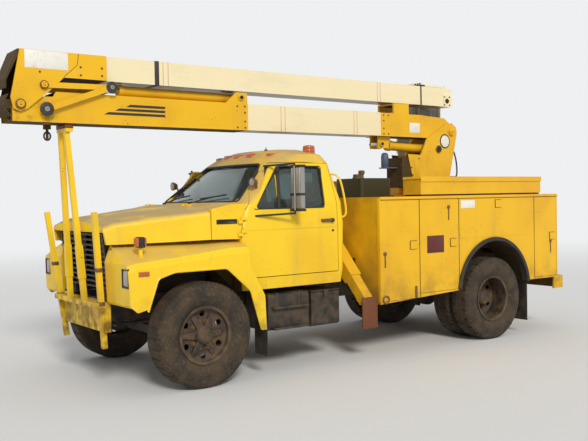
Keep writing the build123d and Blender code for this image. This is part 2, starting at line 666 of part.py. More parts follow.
# outline of the fender seen from the side, from its front lower corner
FENDER_SIDE = [
    (FENDER_FRONT, 860), (FENDER_FRONT + 15, 1240), (FENDER_FRONT - 60, SEAM_Z + 60), (CAB_FRONT + 5, SEAM_Z + 60),
    (CAB_FRONT + PANEL_GAP, SEAM_Z), (CAB_FRONT - 2, DOOR_BOTTOM + 150), (CAB_FRONT - 90, DOOR_BOTTOM - 8),
    (CAB_FRONT - 180, 840), (CAB_FRONT - 195, 490), (CAB_FRONT - 140, 490), (CAB_FRONT - 60, 760),
    (FENDER_FRONT - 150, 820), (FENDER_FRONT - 60, 800),
]
WHEEL_ARCH = [
    (FRONT_AXLE_X + 640, 700), (FRONT_AXLE_X + 500, 1100), (FRONT_AXLE_X + 330, 1150), (FRONT_AXLE_X - 250, 1150),
    (FRONT_AXLE_X - 530, 905), (FRONT_AXLE_X - 668, 400),
]
# distance behind the fender's front, inner side, outer side, outer edge height
FENDER_SECTIONS = (
    (-16.0, 585.0, FENDER_HALF - 40, 1232.0),
    (50.0, 600.0, FENDER_HALF, 1258.0),
    (470.0, 700.0, FENDER_HALF, 1290.0),
    (1080.0, 780.0, FENDER_HALF - 15, 1352.0),
    (1510.0, 780.0, FENDER_HALF - 40, 1352.0),
)


def fender_form(inset, inner_wall=0.0):
    """The fender's form along its length: a sloping top and an upright outer side."""
    wires = []
    for behind, inner, outer, edge in FENDER_SECTIONS:
        x = FENDER_FRONT - behind
        inner += inner_wall
        outer -= inset
        edge -= inset
        top = SEAM_Z - 8 - inset
        bottom = 450 - inset
        points = [(inner, bottom), (inner, top), (outer - 90, edge + 14), (outer - 22, edge - 8), (outer, edge - 70), (outer, bottom)]
        wires.append(Wire.make_polygon([(x, y, z) for y, z in points], close=True))
    return Part() + Solid.make_loft(wires, ruled=True)


def fender():
    """The left fender: skin, apron beside the engine, face round the headlamp, open wheel arch."""
    side = prism("y", FENDER_SIDE, 500, FENDER_HALF + 60)
    shell = fender_form(0) & side
    hollow = fender_form(SKIN, APRON) & block(
        (CAB_FRONT - 300, FENDER_FRONT - SKIN), (400, FENDER_HALF + 60), (400, SEAM_Z)
    )
    shell -= hollow
    shell -= block((CAB_FRONT - 300, FENDER_FRONT - SKIN), (500, FENDER_HALF - 200), (400, APRON_BOTTOM))
    shell -= prism("y", WHEEL_ARCH, 500, FENDER_HALF + 60, 150)
    shell -= block((CAB_FRONT - 260, CAB_FRONT + PANEL_GAP), (500, CAB_HALF + 40), (400, SEAM_Z + 100))
    shell -= block(
        (FENDER_FRONT - 60, FENDER_FRONT + 60), (965 - RUNNING_FIT, 1105 + RUNNING_FIT),
        (1025 - RUNNING_FIT, 1200 + RUNNING_FIT),
    )
    return shell


def fenders():
    """Both fenders."""
    return both_sides(fender())


def grille():
    """A frame with slanting sides and a ladder of flat bars, between the fenders."""
    bottom_x = FENDER_FRONT - 75
    top_x = FENDER_FRONT - 5
    low = 960.0
    high = 1512.0
    half = 545.0
    lean = (top_x - bottom_x) / (high - low)
    parts = Part()
    for side in (-1, 1):
        parts += bar((bottom_x, side * half, low), (top_x, side * half, high), 30, 60)
    for number in range(11):
        z = low + 15 + (high - low - 30) * number / 10
        x = bottom_x + lean * (z - low)
        parts += block((x - 25, x + 25), (-half, half), (z - 9, z + 9))
    legs = block((bottom_x - 15, bottom_x + 15), (RAIL_OUTER_Y - 50, RAIL_OUTER_Y - 20), (RAIL_TOP, low + 15))
    return parts + both_sides(legs)


def lamps():
    """Headlamps, turn lamps on the fenders, clearance lamps and the beacon on the roof."""
    pieces = []
    head = block((FENDER_FRONT - 40, FENDER_FRONT + 4), (965, 1105), (1025, 1200))
    pieces.append(both_sides(fillet(head.edges().filter_by(Axis.X), 14)))
    turn_x = FENDER_FRONT - 290
    turn = block((turn_x - 45, turn_x + 45), (1010, 1075), (1250, 1385)) - fender_form(-RUNNING_FIT)
    pieces.append(both_sides(turn))
    roof = cab_form(-RUNNING_FIT)
    for y in (-540, -240, 0, 240, 540):
        x = CAB_FRONT - 590 - 85 * (y / 540) ** 2
        lens = block((x - 55, x + 40), (y - 45, y + 45), (2200, 2345 - 15 * (y / 540) ** 2))
        pieces.append(lens - roof)
    beacon_x = FRONT_AXLE_X - 1640.0
    beacon = rod("z", (beacon_x, 600), 78, 2200, 2440) - roof
    pieces.append(beacon)
    return Part() + pieces


# Rack in front of the grille and the rest for the lower boom
REST_TOP_X = FRONT_AXLE_X + 953.0
REST_CLEARANCE = 6.0


def front_rack():
    """Bumper plate, four leaning posts, and the pad that the lower boom comes down to."""
    base = block((FRAME_FRONT, FRAME_FRONT + 60), (-580, 580), (560, 850))
    shelf = block((FRAME_FRONT + 30, FRONT_AXLE_X + 870), (-580, 580), (800, 850))
    rack = base + shelf
    x = FRONT_AXLE_X
    rack += both_sides(bar((x + 773, 505, 400), (x + 904, 654, 1720), 50, 50))
    rack += both_sides(bar((x + 838, 194, 805), (x + 940, 75, LOWER_BOTTOM - 60), 50, 50))
    rack += both_sides(bar((x + 853, 176, 1060), (x + 871, 155, 1390), 62, 62))
    pad = block(
        (REST_TOP_X - 65, REST_TOP_X + 10), (-130, 130), (LOWER_BOTTOM - 80, LOWER_BOTTOM - REST_CLEARANCE)
    )
    return rack + pad


# Service body

# front and rear edge behind the front axle, bottom, top, where its hinge is
BIN_DOORS = {
    "front": (2215.0, 2808.0, 640.0, DOOR_TOP_Z, "front edge"),
    "middle": (2822.0, 3472.0, 690.0, DOOR_TOP_Z, "front edge"),
    "wheel": (3486.0, 4905.0, 1300.0, DOOR_TOP_Z, "bottom edge"),
    "rear": (4919.0, 5380.0, 725.0, DOOR_TOP_Z, "front edge"),
}


def door_span(name):
    """A compartment door's span along X and Z."""
    front, rear, bottom, top, _ = BIN_DOORS[name]
    return (FRONT_AXLE_X - rear, FRONT_AXLE_X - front), (bottom, top)


def bin_hinge(name):
    """The axis a compartment door's piano hinge runs along, and its place across that axis."""
    (low_x, high_x), (low_z, high_z) = door_span(name)
    reach = DOOR_GAP / 2 + RUNNING_FIT
    if BIN_DOORS[name][4] == "front edge":
        return "z", (high_x + reach, BODY_HALF)
    return "x", (BODY_HALF, low_z - reach)


def bins():
    """The left compartments: outer frame, shelves of sheet, the arch, and the chest on top."""
    outline = [
        (BODY_FRONT, 612), (BODY_FRONT, BIN_TOP), (BODY_REAR, BIN_TOP), (BODY_REAR, 700),
        (REAR_AXLE_X, 700), (REAR_AXLE_X + ARCH_RADIUS, 672),
    ]
    body = prism("y", outline, BIN_INNER_Y, BODY_HALF)
    for name in BIN_DOORS:
        (low_x, high_x), (low_z, high_z) = door_span(name)
        gap = DOOR_GAP
        body -= block(
            (low_x - gap, high_x + gap), (BODY_HALF - DOOR_THICKNESS - gap, BODY_HALF + 1),
            (low_z - gap, high_z + gap),
        )
        lip = 22.0
        body -= block(
            (low_x + lip - BIN_WALL / 2, high_x - lip + BIN_WALL / 2),
            (BIN_INNER_Y + BIN_WALL, BODY_HALF - DOOR_THICKNESS),
            (low_z + lip, high_z - lip),
        )
    arch = rod("y", (REAR_AXLE_X, ARCH_Z), ARCH_RADIUS, BIN_INNER_Y - 1, BODY_HALF + 1)
    arch -= block(
        (REAR_AXLE_X - ARCH_RADIUS, REAR_AXLE_X + ARCH_RADIUS), (BIN_INNER_Y - 2, BIN_INNER_Y + BIN_WALL),
        (DECK_Z, BIN_TOP),
    )
    body -= arch
    for name in BIN_DOORS:
        axis, centre = bin_hinge(name)
        (low_x, high_x), (low_z, high_z) = door_span(name)
        low, high = (low_z, high_z) if axis == "z" else (low_x, high_x)
        body += rod(axis, centre, DOOR_GAP / 2, low, high)
    lip = rod("y", (REAR_AXLE_X, ARCH_Z), ARCH_RADIUS + 6, BODY_HALF - 60, BODY_HALF + 22)
    lip -= rod("y", (REAR_AXLE_X, ARCH_Z), ARCH_RADIUS - 14, BODY_HALF - 61, BODY_HALF + 23)
    lip -= block((REAR_AXLE_X - 900, REAR_AXLE_X + 900), (BODY_HALF - 70, BODY_HALF + 30), (-100, 690))
    body += lip
    chest = block((CHEST_REAR, CHEST_FRONT), (CHEST_INNER_Y, CHEST_OUTER_Y), (CHEST_BOTTOM, CHEST_TOP - LID_GAP))
    chest -= block(
        (CHEST_REAR + BIN_WALL, CHEST_FRONT - BIN_WALL), (CHEST_INNER_Y + BIN_WALL, CHEST_OUTER_Y - BIN_WALL),
        (CHEST_BOTTOM + BIN_WALL, CHEST_TOP),
    )
    for share in (0.05, 0.35, 0.65, 0.95):
        x = CHEST_REAR + (CHEST_FRONT - CHEST_REAR) * share
        chest += block((x - 40, x + 40), (CHEST_INNER_Y + 20, CHEST_OUTER_Y - 20), (BIN_TOP - 1, CHEST_BOTTOM + 1))
    hinge_y, hinge_z = LID_HINGE
    chest += rod("x", (hinge_y, hinge_z), 3.2, CHEST_REAR, CHEST_FRONT)
    return body + chest


def bin_door(name):
    """One compartment door of the left side, with its paddle latch."""
    (low_x, high_x), (low_z, high_z) = door_span(name)
    door = block((low_x, high_x), (BODY_HALF - DOOR_THICKNESS, BODY_HALF), (low_z, high_z))
    if BIN_DOORS[name][4] == "front edge":
        x = low_x + 95
        z = 1255.0
    else:
        x = (low_x + high_x) / 2
        z = high_z - 70
    door += block((x - 50, x + 50), (BODY_HALF - 2, BODY_HALF + 9), (z - 45, z + 45))
    return door


def chest_lid():
    """The left chest's lid, hinged along its inner edge."""
    lid = block(
        (CHEST_REAR - 6, CHEST_FRONT + 6), (LID_HINGE[0], CHEST_OUTER_Y + 11),
        (CHEST_TOP, CHEST_TOP + LID_THICKNESS),
    )
    lid += block((CHEST_REAR - 6, CHEST_FRONT + 6), (CHEST_OUTER_Y + 5, CHEST_OUTER_Y + 11), (CHEST_TOP - 30, CHEST_TOP + 5))
    return lid


def deck():
    """The floor between the compartments, its sills, the front wall and the rear step."""
    floor = block((BODY_REAR, BODY_FRONT), (-BIN_INNER_Y, BIN_INNER_Y), (DECK_Z, DECK_Z + DECK_THICKNESS))
    wall = block((BODY_FRONT - BIN_WALL, BODY_FRONT), (-BIN_INNER_Y, BIN_INNER_Y), (960, BIN_TOP))
    sill = block((BODY_REAR, BODY_FRONT), (RAIL_OUTER_Y - RAIL_FLANGE, RAIL_OUTER_Y), (RAIL_TOP, DECK_Z))
    body = floor + wall + both_sides(sill)
    for behind in (2260, 3420, 4830, 5370):
        x = FRONT_AXLE_X - behind
        body += block((x - 30, x + 30), (-BIN_INNER_Y, BIN_INNER_Y), (DECK_Z - 100, DECK_Z))
    step = block((STEP_REAR, BODY_REAR - 10), (-1130, 1130), (530, 700))
    step -= block((STEP_REAR + 20, BODY_REAR + 10), (-1110, 1110), (500, 680))
    plate = block((BODY_REAR - 30, BODY_REAR - 10), (-RAIL_OUTER_Y, RAIL_OUTER_Y), (530, DECK_Z))
    holes = Part()
    for y in (-42.85, 42.85):
        for z in (-22.25, 22.25):
            holes += rod("x", (y, 800 + z), 7.0, BODY_REAR - 40, BODY_REAR)
    link = block((BODY_REAR - 11, BODY_REAR + 1), (-RAIL_OUTER_Y, RAIL_OUTER_Y), (DECK_Z - 60, DECK_Z))
    return body + step + plate + link - holes


def mud_flaps():
    """Rubber flaps behind each wheel."""
    front = block((CAB_FRONT - 203, CAB_FRONT - 195 - RUNNING_FIT), (880, FENDER_HALF - 40), (215, 560))
    rear = block((REAR_AXLE_X - 660, REAR_AXLE_X - 650), (BIN_INNER_Y + 10, 1180), (170, 700))
    return both_sides(front) + both_sides(rear)


def pedestal():
    """The tapered column on the deck with the lower ring of the turntable bearing."""
    top = BEARING_Z - 70
    column = loft([
        Plane.XY.offset(DECK_Z + DECK_THICKNESS) * Pos(TURRET_X, 0) * Rectangle(760, 700),
        Plane.XY.offset(top) * Pos(TURRET_X, 0) * Rectangle(560, 560),
    ])
    ring = rod("z", (TURRET_X, 0), 340, top, BEARING_Z)
    return column + ring


def reservoir():
    """The oil tank on its stand behind the cab."""
    x = FRONT_AXLE_X - 2860.0
    tank = block((x - 250, x + 250), (-80, 420), (1500, 2050))
    tank = fillet(tank.edges().filter_by(Axis.Z), 40)
    stand = block((x - 230, x + 230), (-60, 400), (DECK_Z + DECK_THICKNESS, 1501))
    stand -= block((x - 190, x + 190), (-61, 401), (DECK_Z + DECK_THICKNESS - 1, 1460))
    cap = rod("z", (x + 100, 170), 50, 2045, 2090)
    return tank + stand + cap


# Outriggers

TILT = math.radians(OUTRIGGER_TILT)


def outrigger_point(distance):
    """A point on the left leg's centre line, measured up from its foot's pin."""
    end_y, end_z = OUTRIGGER_END
    return (OUTRIGGER_X, end_y - distance * math.cos(TILT), end_z + distance * math.sin(TILT))


def outrigger_sleeves():
    """The two fixed sleeves that lean together over the frame, and their cross beam."""
    outer = OUTRIGGER_SIZE + 30
    inner = OUTRIGGER_SIZE + 1
    space = bar(outrigger_point(300), outrigger_point(1400), inner, inner, side=(1, 0, 0))
    sleeve = bar(outrigger_point(330), outrigger_point(1480), outer, outer, side=(1, 0, 0))
    foot = block((OUTRIGGER_X - 75, OUTRIGGER_X + 75), (RAIL_OUTER_Y - 80, RAIL_OUTER_Y), (RAIL_TOP, 1345))
    beam = block((OUTRIGGER_X - 60, OUTRIGGER_X + 60), (-RAIL_OUTER_Y, RAIL_OUTER_Y), (1000, 1090))
    apex = block((OUTRIGGER_X - 75, OUTRIGGER_X + 75), (-190, 190), (1560, 1760))
    return both_sides(sleeve + foot) + beam + apex - both_sides(space)


def outrigger_leg():
    """The left sliding leg and the foot plate pinned to its end."""
    leg = bar(outrigger_point(0), outrigger_point(1280), OUTRIGGER_SIZE, OUTRIGGER_SIZE, side=(1, 0, 0))
    _, end_y, end_z = outrigger_point(0)
    foot = block((OUTRIGGER_X - 105, OUTRIGGER_X + 105), (end_y + 45, end_y + 60), (end_z - 290, end_z + 50))
    lug = prism(
        "x",
        [(end_y - 60, end_z + 20), (end_y + 46, end_z + 40), (end_y + 46, end_z - 120), (end_y - 40, end_z - 60)],
        OUTRIGGER_X - 30, OUTRIGGER_X + 30,
    )
    return leg + foot + lug


# Turret and booms

def turret():
    """The turntable plate and two cheek plates that hold the boom and lift cylinder pins."""
    x = FRONT_AXLE_X
    plate = rod("z", (TURRET_X, 0), 350, BEARING_Z + BEARING_GAP, BEARING_Z + 35)
    outline = [
        (x - 3770, BEARING_Z + 30), (x - 3659, 2376), (x - 3899, 2366), (x - 4016, 2584), (x - 4380, 2790),
        (x - 4500, 2815), (x - 4585, 2760), (x - 4600, 2680), (x - 4420, BEARING_Z + 30),
    ]
    cheek = prism("y", outline, CHEEK_OUTER_Y - CHEEK_THICKNESS, CHEEK_OUTER_Y)
    body = plate + both_sides(cheek)
    inner = CHEEK_OUTER_Y - CHEEK_THICKNESS + 1
    body += block((x - 3790, x - 3740), (-inner, inner), (BEARING_Z + 30, 2300))
    body += bar((x - 4440, 0, BEARING_Z + 30), (x - 4525, 0, 2450), 2 * inner, 20)
    for pin_x, pin_z in (BOOM_PIVOT, LIFT_BASE):
        body += rod("y", (pin_x, pin_z), PIN_RADIUS, -CHEEK_OUTER_Y - 18, CHEEK_OUTER_Y + 18)
        body += both_sides(rod("y", (pin_x, pin_z), PIN_RADIUS + 22, CHEEK_OUTER_Y - 1, CHEEK_OUTER_Y + 12))
    # hydraulic swivel and valve box on the turret's front
    body += block((x - 3750, x - 3560), (-150, 150), (BEARING_Z + 5, 2330))
    return body


def boom_box(low_x, high_x, half, low_z, high_z, wall):
    """A rectangular tube along X."""
    tube = block((low_x, high_x), (-half, half), (low_z, high_z))
    return tube - block((low_x - 1, high_x + 1), (wall - half, half - wall), (low_z + wall, high_z - wall))


def lower_boom():
    """Steel root, elbow sleeve and nose of the lower boom; the insert joins them."""
    x = FRONT_AXLE_X
    wall = 12.0
    pivot_x, pivot_z = BOOM_PIVOT
    inner = CHEEK_OUTER_Y - CHEEK_THICKNESS - SIDE_GAP
    root = boom_box(x - 3950, x - 3200, BOOM_HALF, LOWER_BOTTOM, LOWER_TOP - 5, wall)
    tail = prism(
        "y",
        [(x - 3951, LOWER_BOTTOM), (x - 3951, LOWER_TOP - 5), (pivot_x + 100, LOWER_TOP - 25),
         (pivot_x - 40, pivot_z + 85), (pivot_x - 95, pivot_z), (pivot_x - 40, pivot_z - 85), (pivot_x + 180, LOWER_BOTTOM)],
        -inner, inner,
    )
    tail -= prism(
        "y",
        [(x - 3952, LOWER_BOTTOM + wall), (x - 3952, LOWER_TOP - 5 - wall), (pivot_x + 120, LOWER_TOP - 30 - wall),
         (pivot_x + 120, LOWER_BOTTOM + wall)],
        wall - inner, inner - wall,
    )
    tail -= rod("y", (pivot_x, pivot_z), PIN_RADIUS + RUNNING_FIT, -300, 300)
    closing = block((x - 3951, x - 3930), (-BOOM_HALF, BOOM_HALF), (LOWER_BOTTOM, LOWER_TOP - 5))
    boom = root + tail + closing
    # ears for the lift cylinder's rod
    ear_outline = [
        (x - 3205, LOWER_BOTTOM + 5), (x - 3420, LOWER_BOTTOM + 5), (x - 3380, 2450), (x - 3205, 2445),
    ]
    ear = prism("y", ear_outline, 60, 85)
    boom += both_sides(ear)
    eye_x, eye_z = LIFT_EYE
    boom += both_sides(rod("y", (eye_x, eye_z), PIN_RADIUS + 8, 84, 100))
    # saddle for the upper boom
    saddle = block((x - 3690, x - 3420), (-BOOM_HALF, BOOM_HALF), (LOWER_TOP - 6, UPPER_BOTTOM - SIDE_GAP))
    saddle -= block((x - 3691, x - 3419), (-BOOM_HALF + 25, BOOM_HALF - 25), (LOWER_TOP + 10, UPPER_BOTTOM - 30))
    boom += saddle
    # sleeve over the insert's front end, and the nose
    nose_x = x + 1500
    boom += boom_box(x - 1160, nose_x, BOOM_HALF, LOWER_BOTTOM, LOWER_TOP - 5, wall)
    pivot_x, pivot_z = ELBOW_PIVOT
    cut = prism(
        "y",
        [(x + 1030, LOWER_TOP + 50), (x + 1090, 2850), (x + 1290, 2842), (x + 1520, 2842),
         (x + 1520, LOWER_TOP + 50)], -300, 300,
    )
    boom -= cut
    guard = []
    for degrees in (42, 18, -6, -30, -54):
        angle = math.radians(degrees)
        guard.append((math.cos(angle), math.sin(angle)))
    outline = [(pivot_x + 143 * c, pivot_z + 143 * s) for c, s in guard]
    outline += [(pivot_x + 132 * c, pivot_z + 132 * s) for c, s in reversed(guard)]
    nose = prism("y", outline, -BOOM_HALF, BOOM_HALF)
    nose += block((x + 1490, x + 1551), (-BOOM_HALF, 20 - BOOM_HALF), (2720, 2800))
    nose += block((x + 1490, x + 1551), (BOOM_HALF - 20, BOOM_HALF), (2720, 2800))
    boom += nose
    boom += rod("y", (pivot_x, pivot_z), PIN_RADIUS + 30, -BOOM_HALF + 2, BOOM_HALF - 2)
    boom -= rod("y", (pivot_x, pivot_z), PIN_RADIUS + RUNNING_FIT, -300, 300)
    guide_x, guide_z = GUIDE_PIN
    boom += rod("y", (guide_x, guide_z), PIN_RADIUS, -BOOM_HALF - 62, BOOM_HALF + 62)
    # ears for the fold cylinder's base
    base_x, base_z = FOLD_BASE
    base_ear = prism(
        "y",
        [(base_x - 90, LOWER_TOP - 8), (base_x - 82, base_z + 55), (base_x + 60, base_z + 55), (base_x + 200, LOWER_TOP - 8)],
        BOOM_HALF - 22, BOOM_HALF,
    )
    boom += both_sides(base_ear)
    boom += rod("y", (base_x, base_z), PIN_RADIUS, -BOOM_HALF - 8, BOOM_HALF + 8)
    # hook that hangs under the sleeve
    boom += block((x + 1075, x + 1135), (-30, 30), (2545, LOWER_BOTTOM + 5))
    boom += rod("z", (x + 1105, 0), 14, 2440, 2550)
    return boom


def lower_boom_insert():
    """The insulating section of the lower boom, let into its steel ends."""
    x = FRONT_AXLE_X
    return boom_box(x - 3200, x - 1160, BOOM_HALF - 10, LOWER_BOTTOM + 4, LOWER_TOP - 2, 16)


def upper_boom_elbow():
    """Two plates on the elbow pin, and the sleeve that holds the upper boom's beam."""
    x = FRONT_AXLE_X
    outline = [
        (x + 1407, UPPER_TOP - 8), (x + 1504, 2822), (x + 1480, 2715), (x + 1417, 2690), (x + 1345, 2720),
        (x + 1130, 2900), (x + 985, UPPER_BOTTOM), (x + 540, UPPER_BOTTOM), (x + 540, UPPER_TOP - 8),
    ]
    inner = BOOM_HALF + SIDE_GAP
    plate = prism("y", outline, inner, inner + 16)
    elbow = both_sides(plate)
    elbow += block((x + 540, x + 1400), (-inner - 1, inner + 1), (UPPER_TOP - 24, UPPER_TOP - 8))
    elbow += block((x + 540, x + 985), (-inner - 1, inner + 1), (UPPER_BOTTOM, UPPER_BOTTOM + 14))
    for pin_x, pin_z, extra in (ELBOW_PIVOT + (0,), DRIVE_PIN + (0,)):
        elbow += rod("y", (pin_x, pin_z), PIN_RADIUS + extra, -inner - 34, inner + 34)
    front = prism(
        "y",
        [(x + 1395, UPPER_TOP - 9), (x + 1425, UPPER_TOP - 9), (x + 1552, 2990), (x + 1556, 2905), (x + 1538, 2905),
         (x + 1534, 2985), (x + 1400, UPPER_TOP - 30)],
        -inner - 1, inner + 1,
    )
    return elbow + front


def upper_boom_beam():
    """The insulating beam of the upper boom with its tip plates and pin."""
    x = FRONT_AXLE_X
    half = BOOM_HALF - 15
    beam = boom_box(x - 4520, x + 540, half, UPPER_BOTTOM, UPPER_TOP - 6, 16)
    tip_x, tip_z = TIP_PIVOT
    beam += both_sides(block((tip_x - 100, tip_x + 60), (half - 1, half + 14), (tip_z - 80, tip_z + 80)))
    beam += rod("y", (tip_x, tip_z), PIN_RADIUS, -BUCKET_INNER_Y + 30, half + 16)
    return beam


def bucket():
    """An open tub with a rolled rim, and the bracket that carries it on the tip pin."""
    high_y = -BUCKET_INNER_Y
    low_y = high_y - BUCKET_WIDTH
    centre_x = (BUCKET_FRONT + BUCKET_REAR) / 2
    centre_y = (low_y + high_y) / 2
    length = BUCKET_FRONT - BUCKET_REAR
    rim = 40.0
    bottom = BUCKET_TOP - BUCKET_DEPTH

    def section(height, shrink):
        plan = Rectangle(length - 2 * shrink, BUCKET_WIDTH - 2 * shrink)
        plan = fillet(plan.vertices(), 70)
        return Plane.XY.offset(height) * Pos(centre_x, centre_y) * plan

    tub = loft([section(bottom, rim + 30), section(BUCKET_TOP, rim)], ruled=True)
    tub -= loft([section(bottom + BUCKET_WALL, rim + 30 + BUCKET_WALL), section(BUCKET_TOP + 1, rim + BUCKET_WALL)], ruled=True)
    lip = extrude(section(BUCKET_TOP - 35, 8), 35) - extrude(section(BUCKET_TOP - 36, rim + BUCKET_WALL - 2), 40)
    body = tub + lip
    tip_x, tip_z = TIP_PIVOT
    plate = block((tip_x - 90, tip_x + 90), (high_y - rim - 25, high_y - 10), (tip_z - 180, tip_z + 120))
    body += plate
    body += rod("y", (tip_x, tip_z), 60, high_y - 20, high_y + 60)
    body -= rod("y", (tip_x, tip_z), PIN_RADIUS + RUNNING_FIT, high_y - 2, high_y + 61)
    return body


def unit(start, end):
    """The distance between two points in the boom's plane, and the direction along it."""
    dx = end[0] - start[0]
    dz = end[1] - start[1]
    length = math.hypot(dx, dz)
    return length, (dx / length, dz / length)


def along(start, direction, distance, y=0.0):
    """A point in space at a distance along a direction in the boom's plane."""
    return (start[0] + direction[0] * distance, y, start[1] + direction[1] * distance)


def cylinder_tube(start, end, first, last, radius, bore=0.0):
    """A round bar or tube on the line between two pins, from one distance to another."""
    _, direction = unit(start, end)
    plane = Plane(origin=along(start, direction, first), z_dir=(direction[0], 0, direction[1]))
    shape = extrude(plane * Circle(radius), last - first)
    if bore:
        shape -= extrude(plane * Circle(bore), last - first)
    return shape


def barrel(start, end, radius, rod_radius, eye_width, length):
    """A cylinder barrel: eye at its base pin, closed tube, and a gland the rod runs through."""
    body = cylinder_tube(start, end, 45, length, radius)
    body -= cylinder_tube(start, end, 90, length + 1, rod_radius + 3)
    body += cylinder_tube(start, end, length - 50, length, radius + 10, rod_radius + RUNNING_FIT)
    body += rod("y", start, PIN_RADIUS + 28, -eye_width / 2, eye_width / 2)
    body -= rod("y", start, PIN_RADIUS + RUNNING_FIT, -eye_width, eye_width)
    return body


def piston_rod(start, end, radius, eye_width, first):
    """The piston rod with the eye at its end; the eye's pin stays between the ears."""
    length, _ = unit(start, end)
    body = cylinder_tube(start, end, first, length - 20, radius)
    body += rod("y", end, PIN_RADIUS + 18, -eye_width / 2, eye_width / 2)
    return body


LIFT_BARREL = 800.0
FOLD_BARREL = 1420.0


def lift_barrel():
    return barrel(LIFT_BASE, LIFT_EYE, 62, 38, 220, LIFT_BARREL)


def lift_rod():
    return piston_rod(LIFT_BASE, LIFT_EYE, 38, 112, 150)


def fold_barrel():
    return barrel(FOLD_BASE, FOLD_EYE, 52, 32, 220, FOLD_BARREL)


def fold_rod():
    return piston_rod(FOLD_BASE, FOLD_EYE, 32, 150, 150)


def link(start, end, width, inner_y, thickness, low_boss):
    """A pair of flat links, one on each side of the boom, between two pins."""
    _, direction = unit(start, end)
    side = bar(
        along(start, direction, 0, inner_y + thickness / 2), along(end, (0, 0), 0, inner_y + thickness / 2),
        thickness, width,
    )
    for centre in (start, end):
        side += rod("y", centre, width / 2 + 12, inner_y, inner_y + thickness)
    for centre in low_boss:
        side -= rod("y", centre, PIN_RADIUS + RUNNING_FIT, inner_y - 5, inner_y + thickness + 5)
    return both_sides(side)


def drive_link():
    """The links from the fold cylinder's rod to the elbow plates."""
    return link(DRIVE_PIN, FOLD_EYE, 55, BOOM_HALF + SIDE_GAP + 17, 14, (DRIVE_PIN,))


def guide_link():
    """The links from the lower boom to the fold cylinder's rod."""
    return link(GUIDE_PIN, FOLD_EYE, 60, BOOM_HALF + 40, 14, (GUIDE_PIN,))


def build():
    """Every node of the truck by name."""
    left_door = cab_door()
    left_pane = door_glass()
    left_arm = mirror_arm()
    left_knuckle = knuckle()
    left_rim = front_rim()
    left_twins = rear_rims()
    front_tyre = tyre(FRONT_TYRE_Y, FRONT_AXLE_X)
    twin_tyres = Part() + [tyre(REAR_TYRE_Y, REAR_AXLE_X), tyre(REAR_TYRE_Y - TWIN_PITCH, REAR_AXLE_X)]
    left_bins = bins()
    left_lid = chest_lid()
    left_leg = outrigger_leg()
    nodes = {
        "chassis_frame": chassis_frame(),
        "engine": engine(),
        "front_axle": front_axle(),
        "rear_axle": rear_axle(),
        "cab_shell": cab_shell(),
        "cab_glass": cab_glass(),
        "cab_interior": cab_interior(),
        "hood": hood(),
        "fenders": fenders(),
        "grille": grille(),
        "lamps": lamps(),
        "front_rack": front_rack(),
        "deck": deck(),
        "mud_flaps": mud_flaps(),
        "pedestal": pedestal(),
        "reservoir": reservoir(),
        "outrigger_sleeves": outrigger_sleeves(),
        "turret": turret(),
        "lower_boom": lower_boom(),
        "lower_boom_insert": lower_boom_insert(),
        "upper_boom_elbow": upper_boom_elbow(),
        "upper_boom_beam": upper_boom_beam(),
        "bucket": bucket(),
        "lift_barrel": lift_barrel(),
        "lift_rod": lift_rod(),
        "fold_barrel": fold_barrel(),
        "fold_rod": fold_rod(),
        "drive_link": drive_link(),
        "guide_link": guide_link(),
    }
    sided = {
        "cab_door": left_door,
        "door_glass": left_pane,
        "mirror": left_arm,
        "knuckle": left_knuckle,
        "front_rim": left_rim,
        "front_tyre": front_tyre,
        "rear_rims": left_twins,
        "rear_tyres": twin_tyres,
        "bins": left_bins,
        "chest_lid": left_lid,
        "outrigger_leg": left_leg,
    }
    for name in BIN_DOORS:
        sided[name + "_bin_door"] = bin_door(name)
    for name, shape in sided.items():
        nodes["left_" + name] = shape
        nodes["right_" + name] = other_side(shape)
    return nodes


os.makedirs("parts", exist_ok=True)
for node, shape in build().items():
    export_step(shape, "parts/" + node + ".step")
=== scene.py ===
import json
import math

import bmesh
import bpy
from mathutils import Matrix, Vector


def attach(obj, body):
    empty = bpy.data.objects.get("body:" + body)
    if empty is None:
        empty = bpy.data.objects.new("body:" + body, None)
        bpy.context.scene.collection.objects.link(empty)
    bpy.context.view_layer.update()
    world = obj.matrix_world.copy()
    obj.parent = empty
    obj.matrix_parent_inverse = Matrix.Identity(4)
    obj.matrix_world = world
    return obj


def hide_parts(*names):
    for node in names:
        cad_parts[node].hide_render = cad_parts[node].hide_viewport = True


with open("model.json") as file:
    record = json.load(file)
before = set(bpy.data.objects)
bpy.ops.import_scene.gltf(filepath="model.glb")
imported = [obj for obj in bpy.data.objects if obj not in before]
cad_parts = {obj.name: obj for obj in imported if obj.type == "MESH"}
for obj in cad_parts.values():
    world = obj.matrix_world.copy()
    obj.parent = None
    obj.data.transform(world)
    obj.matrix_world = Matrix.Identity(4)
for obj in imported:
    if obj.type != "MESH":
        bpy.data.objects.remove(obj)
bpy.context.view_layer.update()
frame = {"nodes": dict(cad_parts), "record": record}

# The truck stands on Z = 0 with +X forward and +Y its left side; metres.
FRONT_AXLE = 2.025
REAR_AXLE = FRONT_AXLE - 4.12
TYRE_RADIUS = 0.515
FRONT_TYRE_Y = 1.015
REAR_TYRE_Y = 1.055
TWIN_PITCH = 0.31
BODY_SIDE = 1.2
BODY_REAR = FRONT_AXLE - 5.4
ARCH_HEIGHT = 0.612
DOOR_SEAMS = [FRONT_AXLE - behind for behind in (2.815, 3.479, 4.912)]


# Shader maths

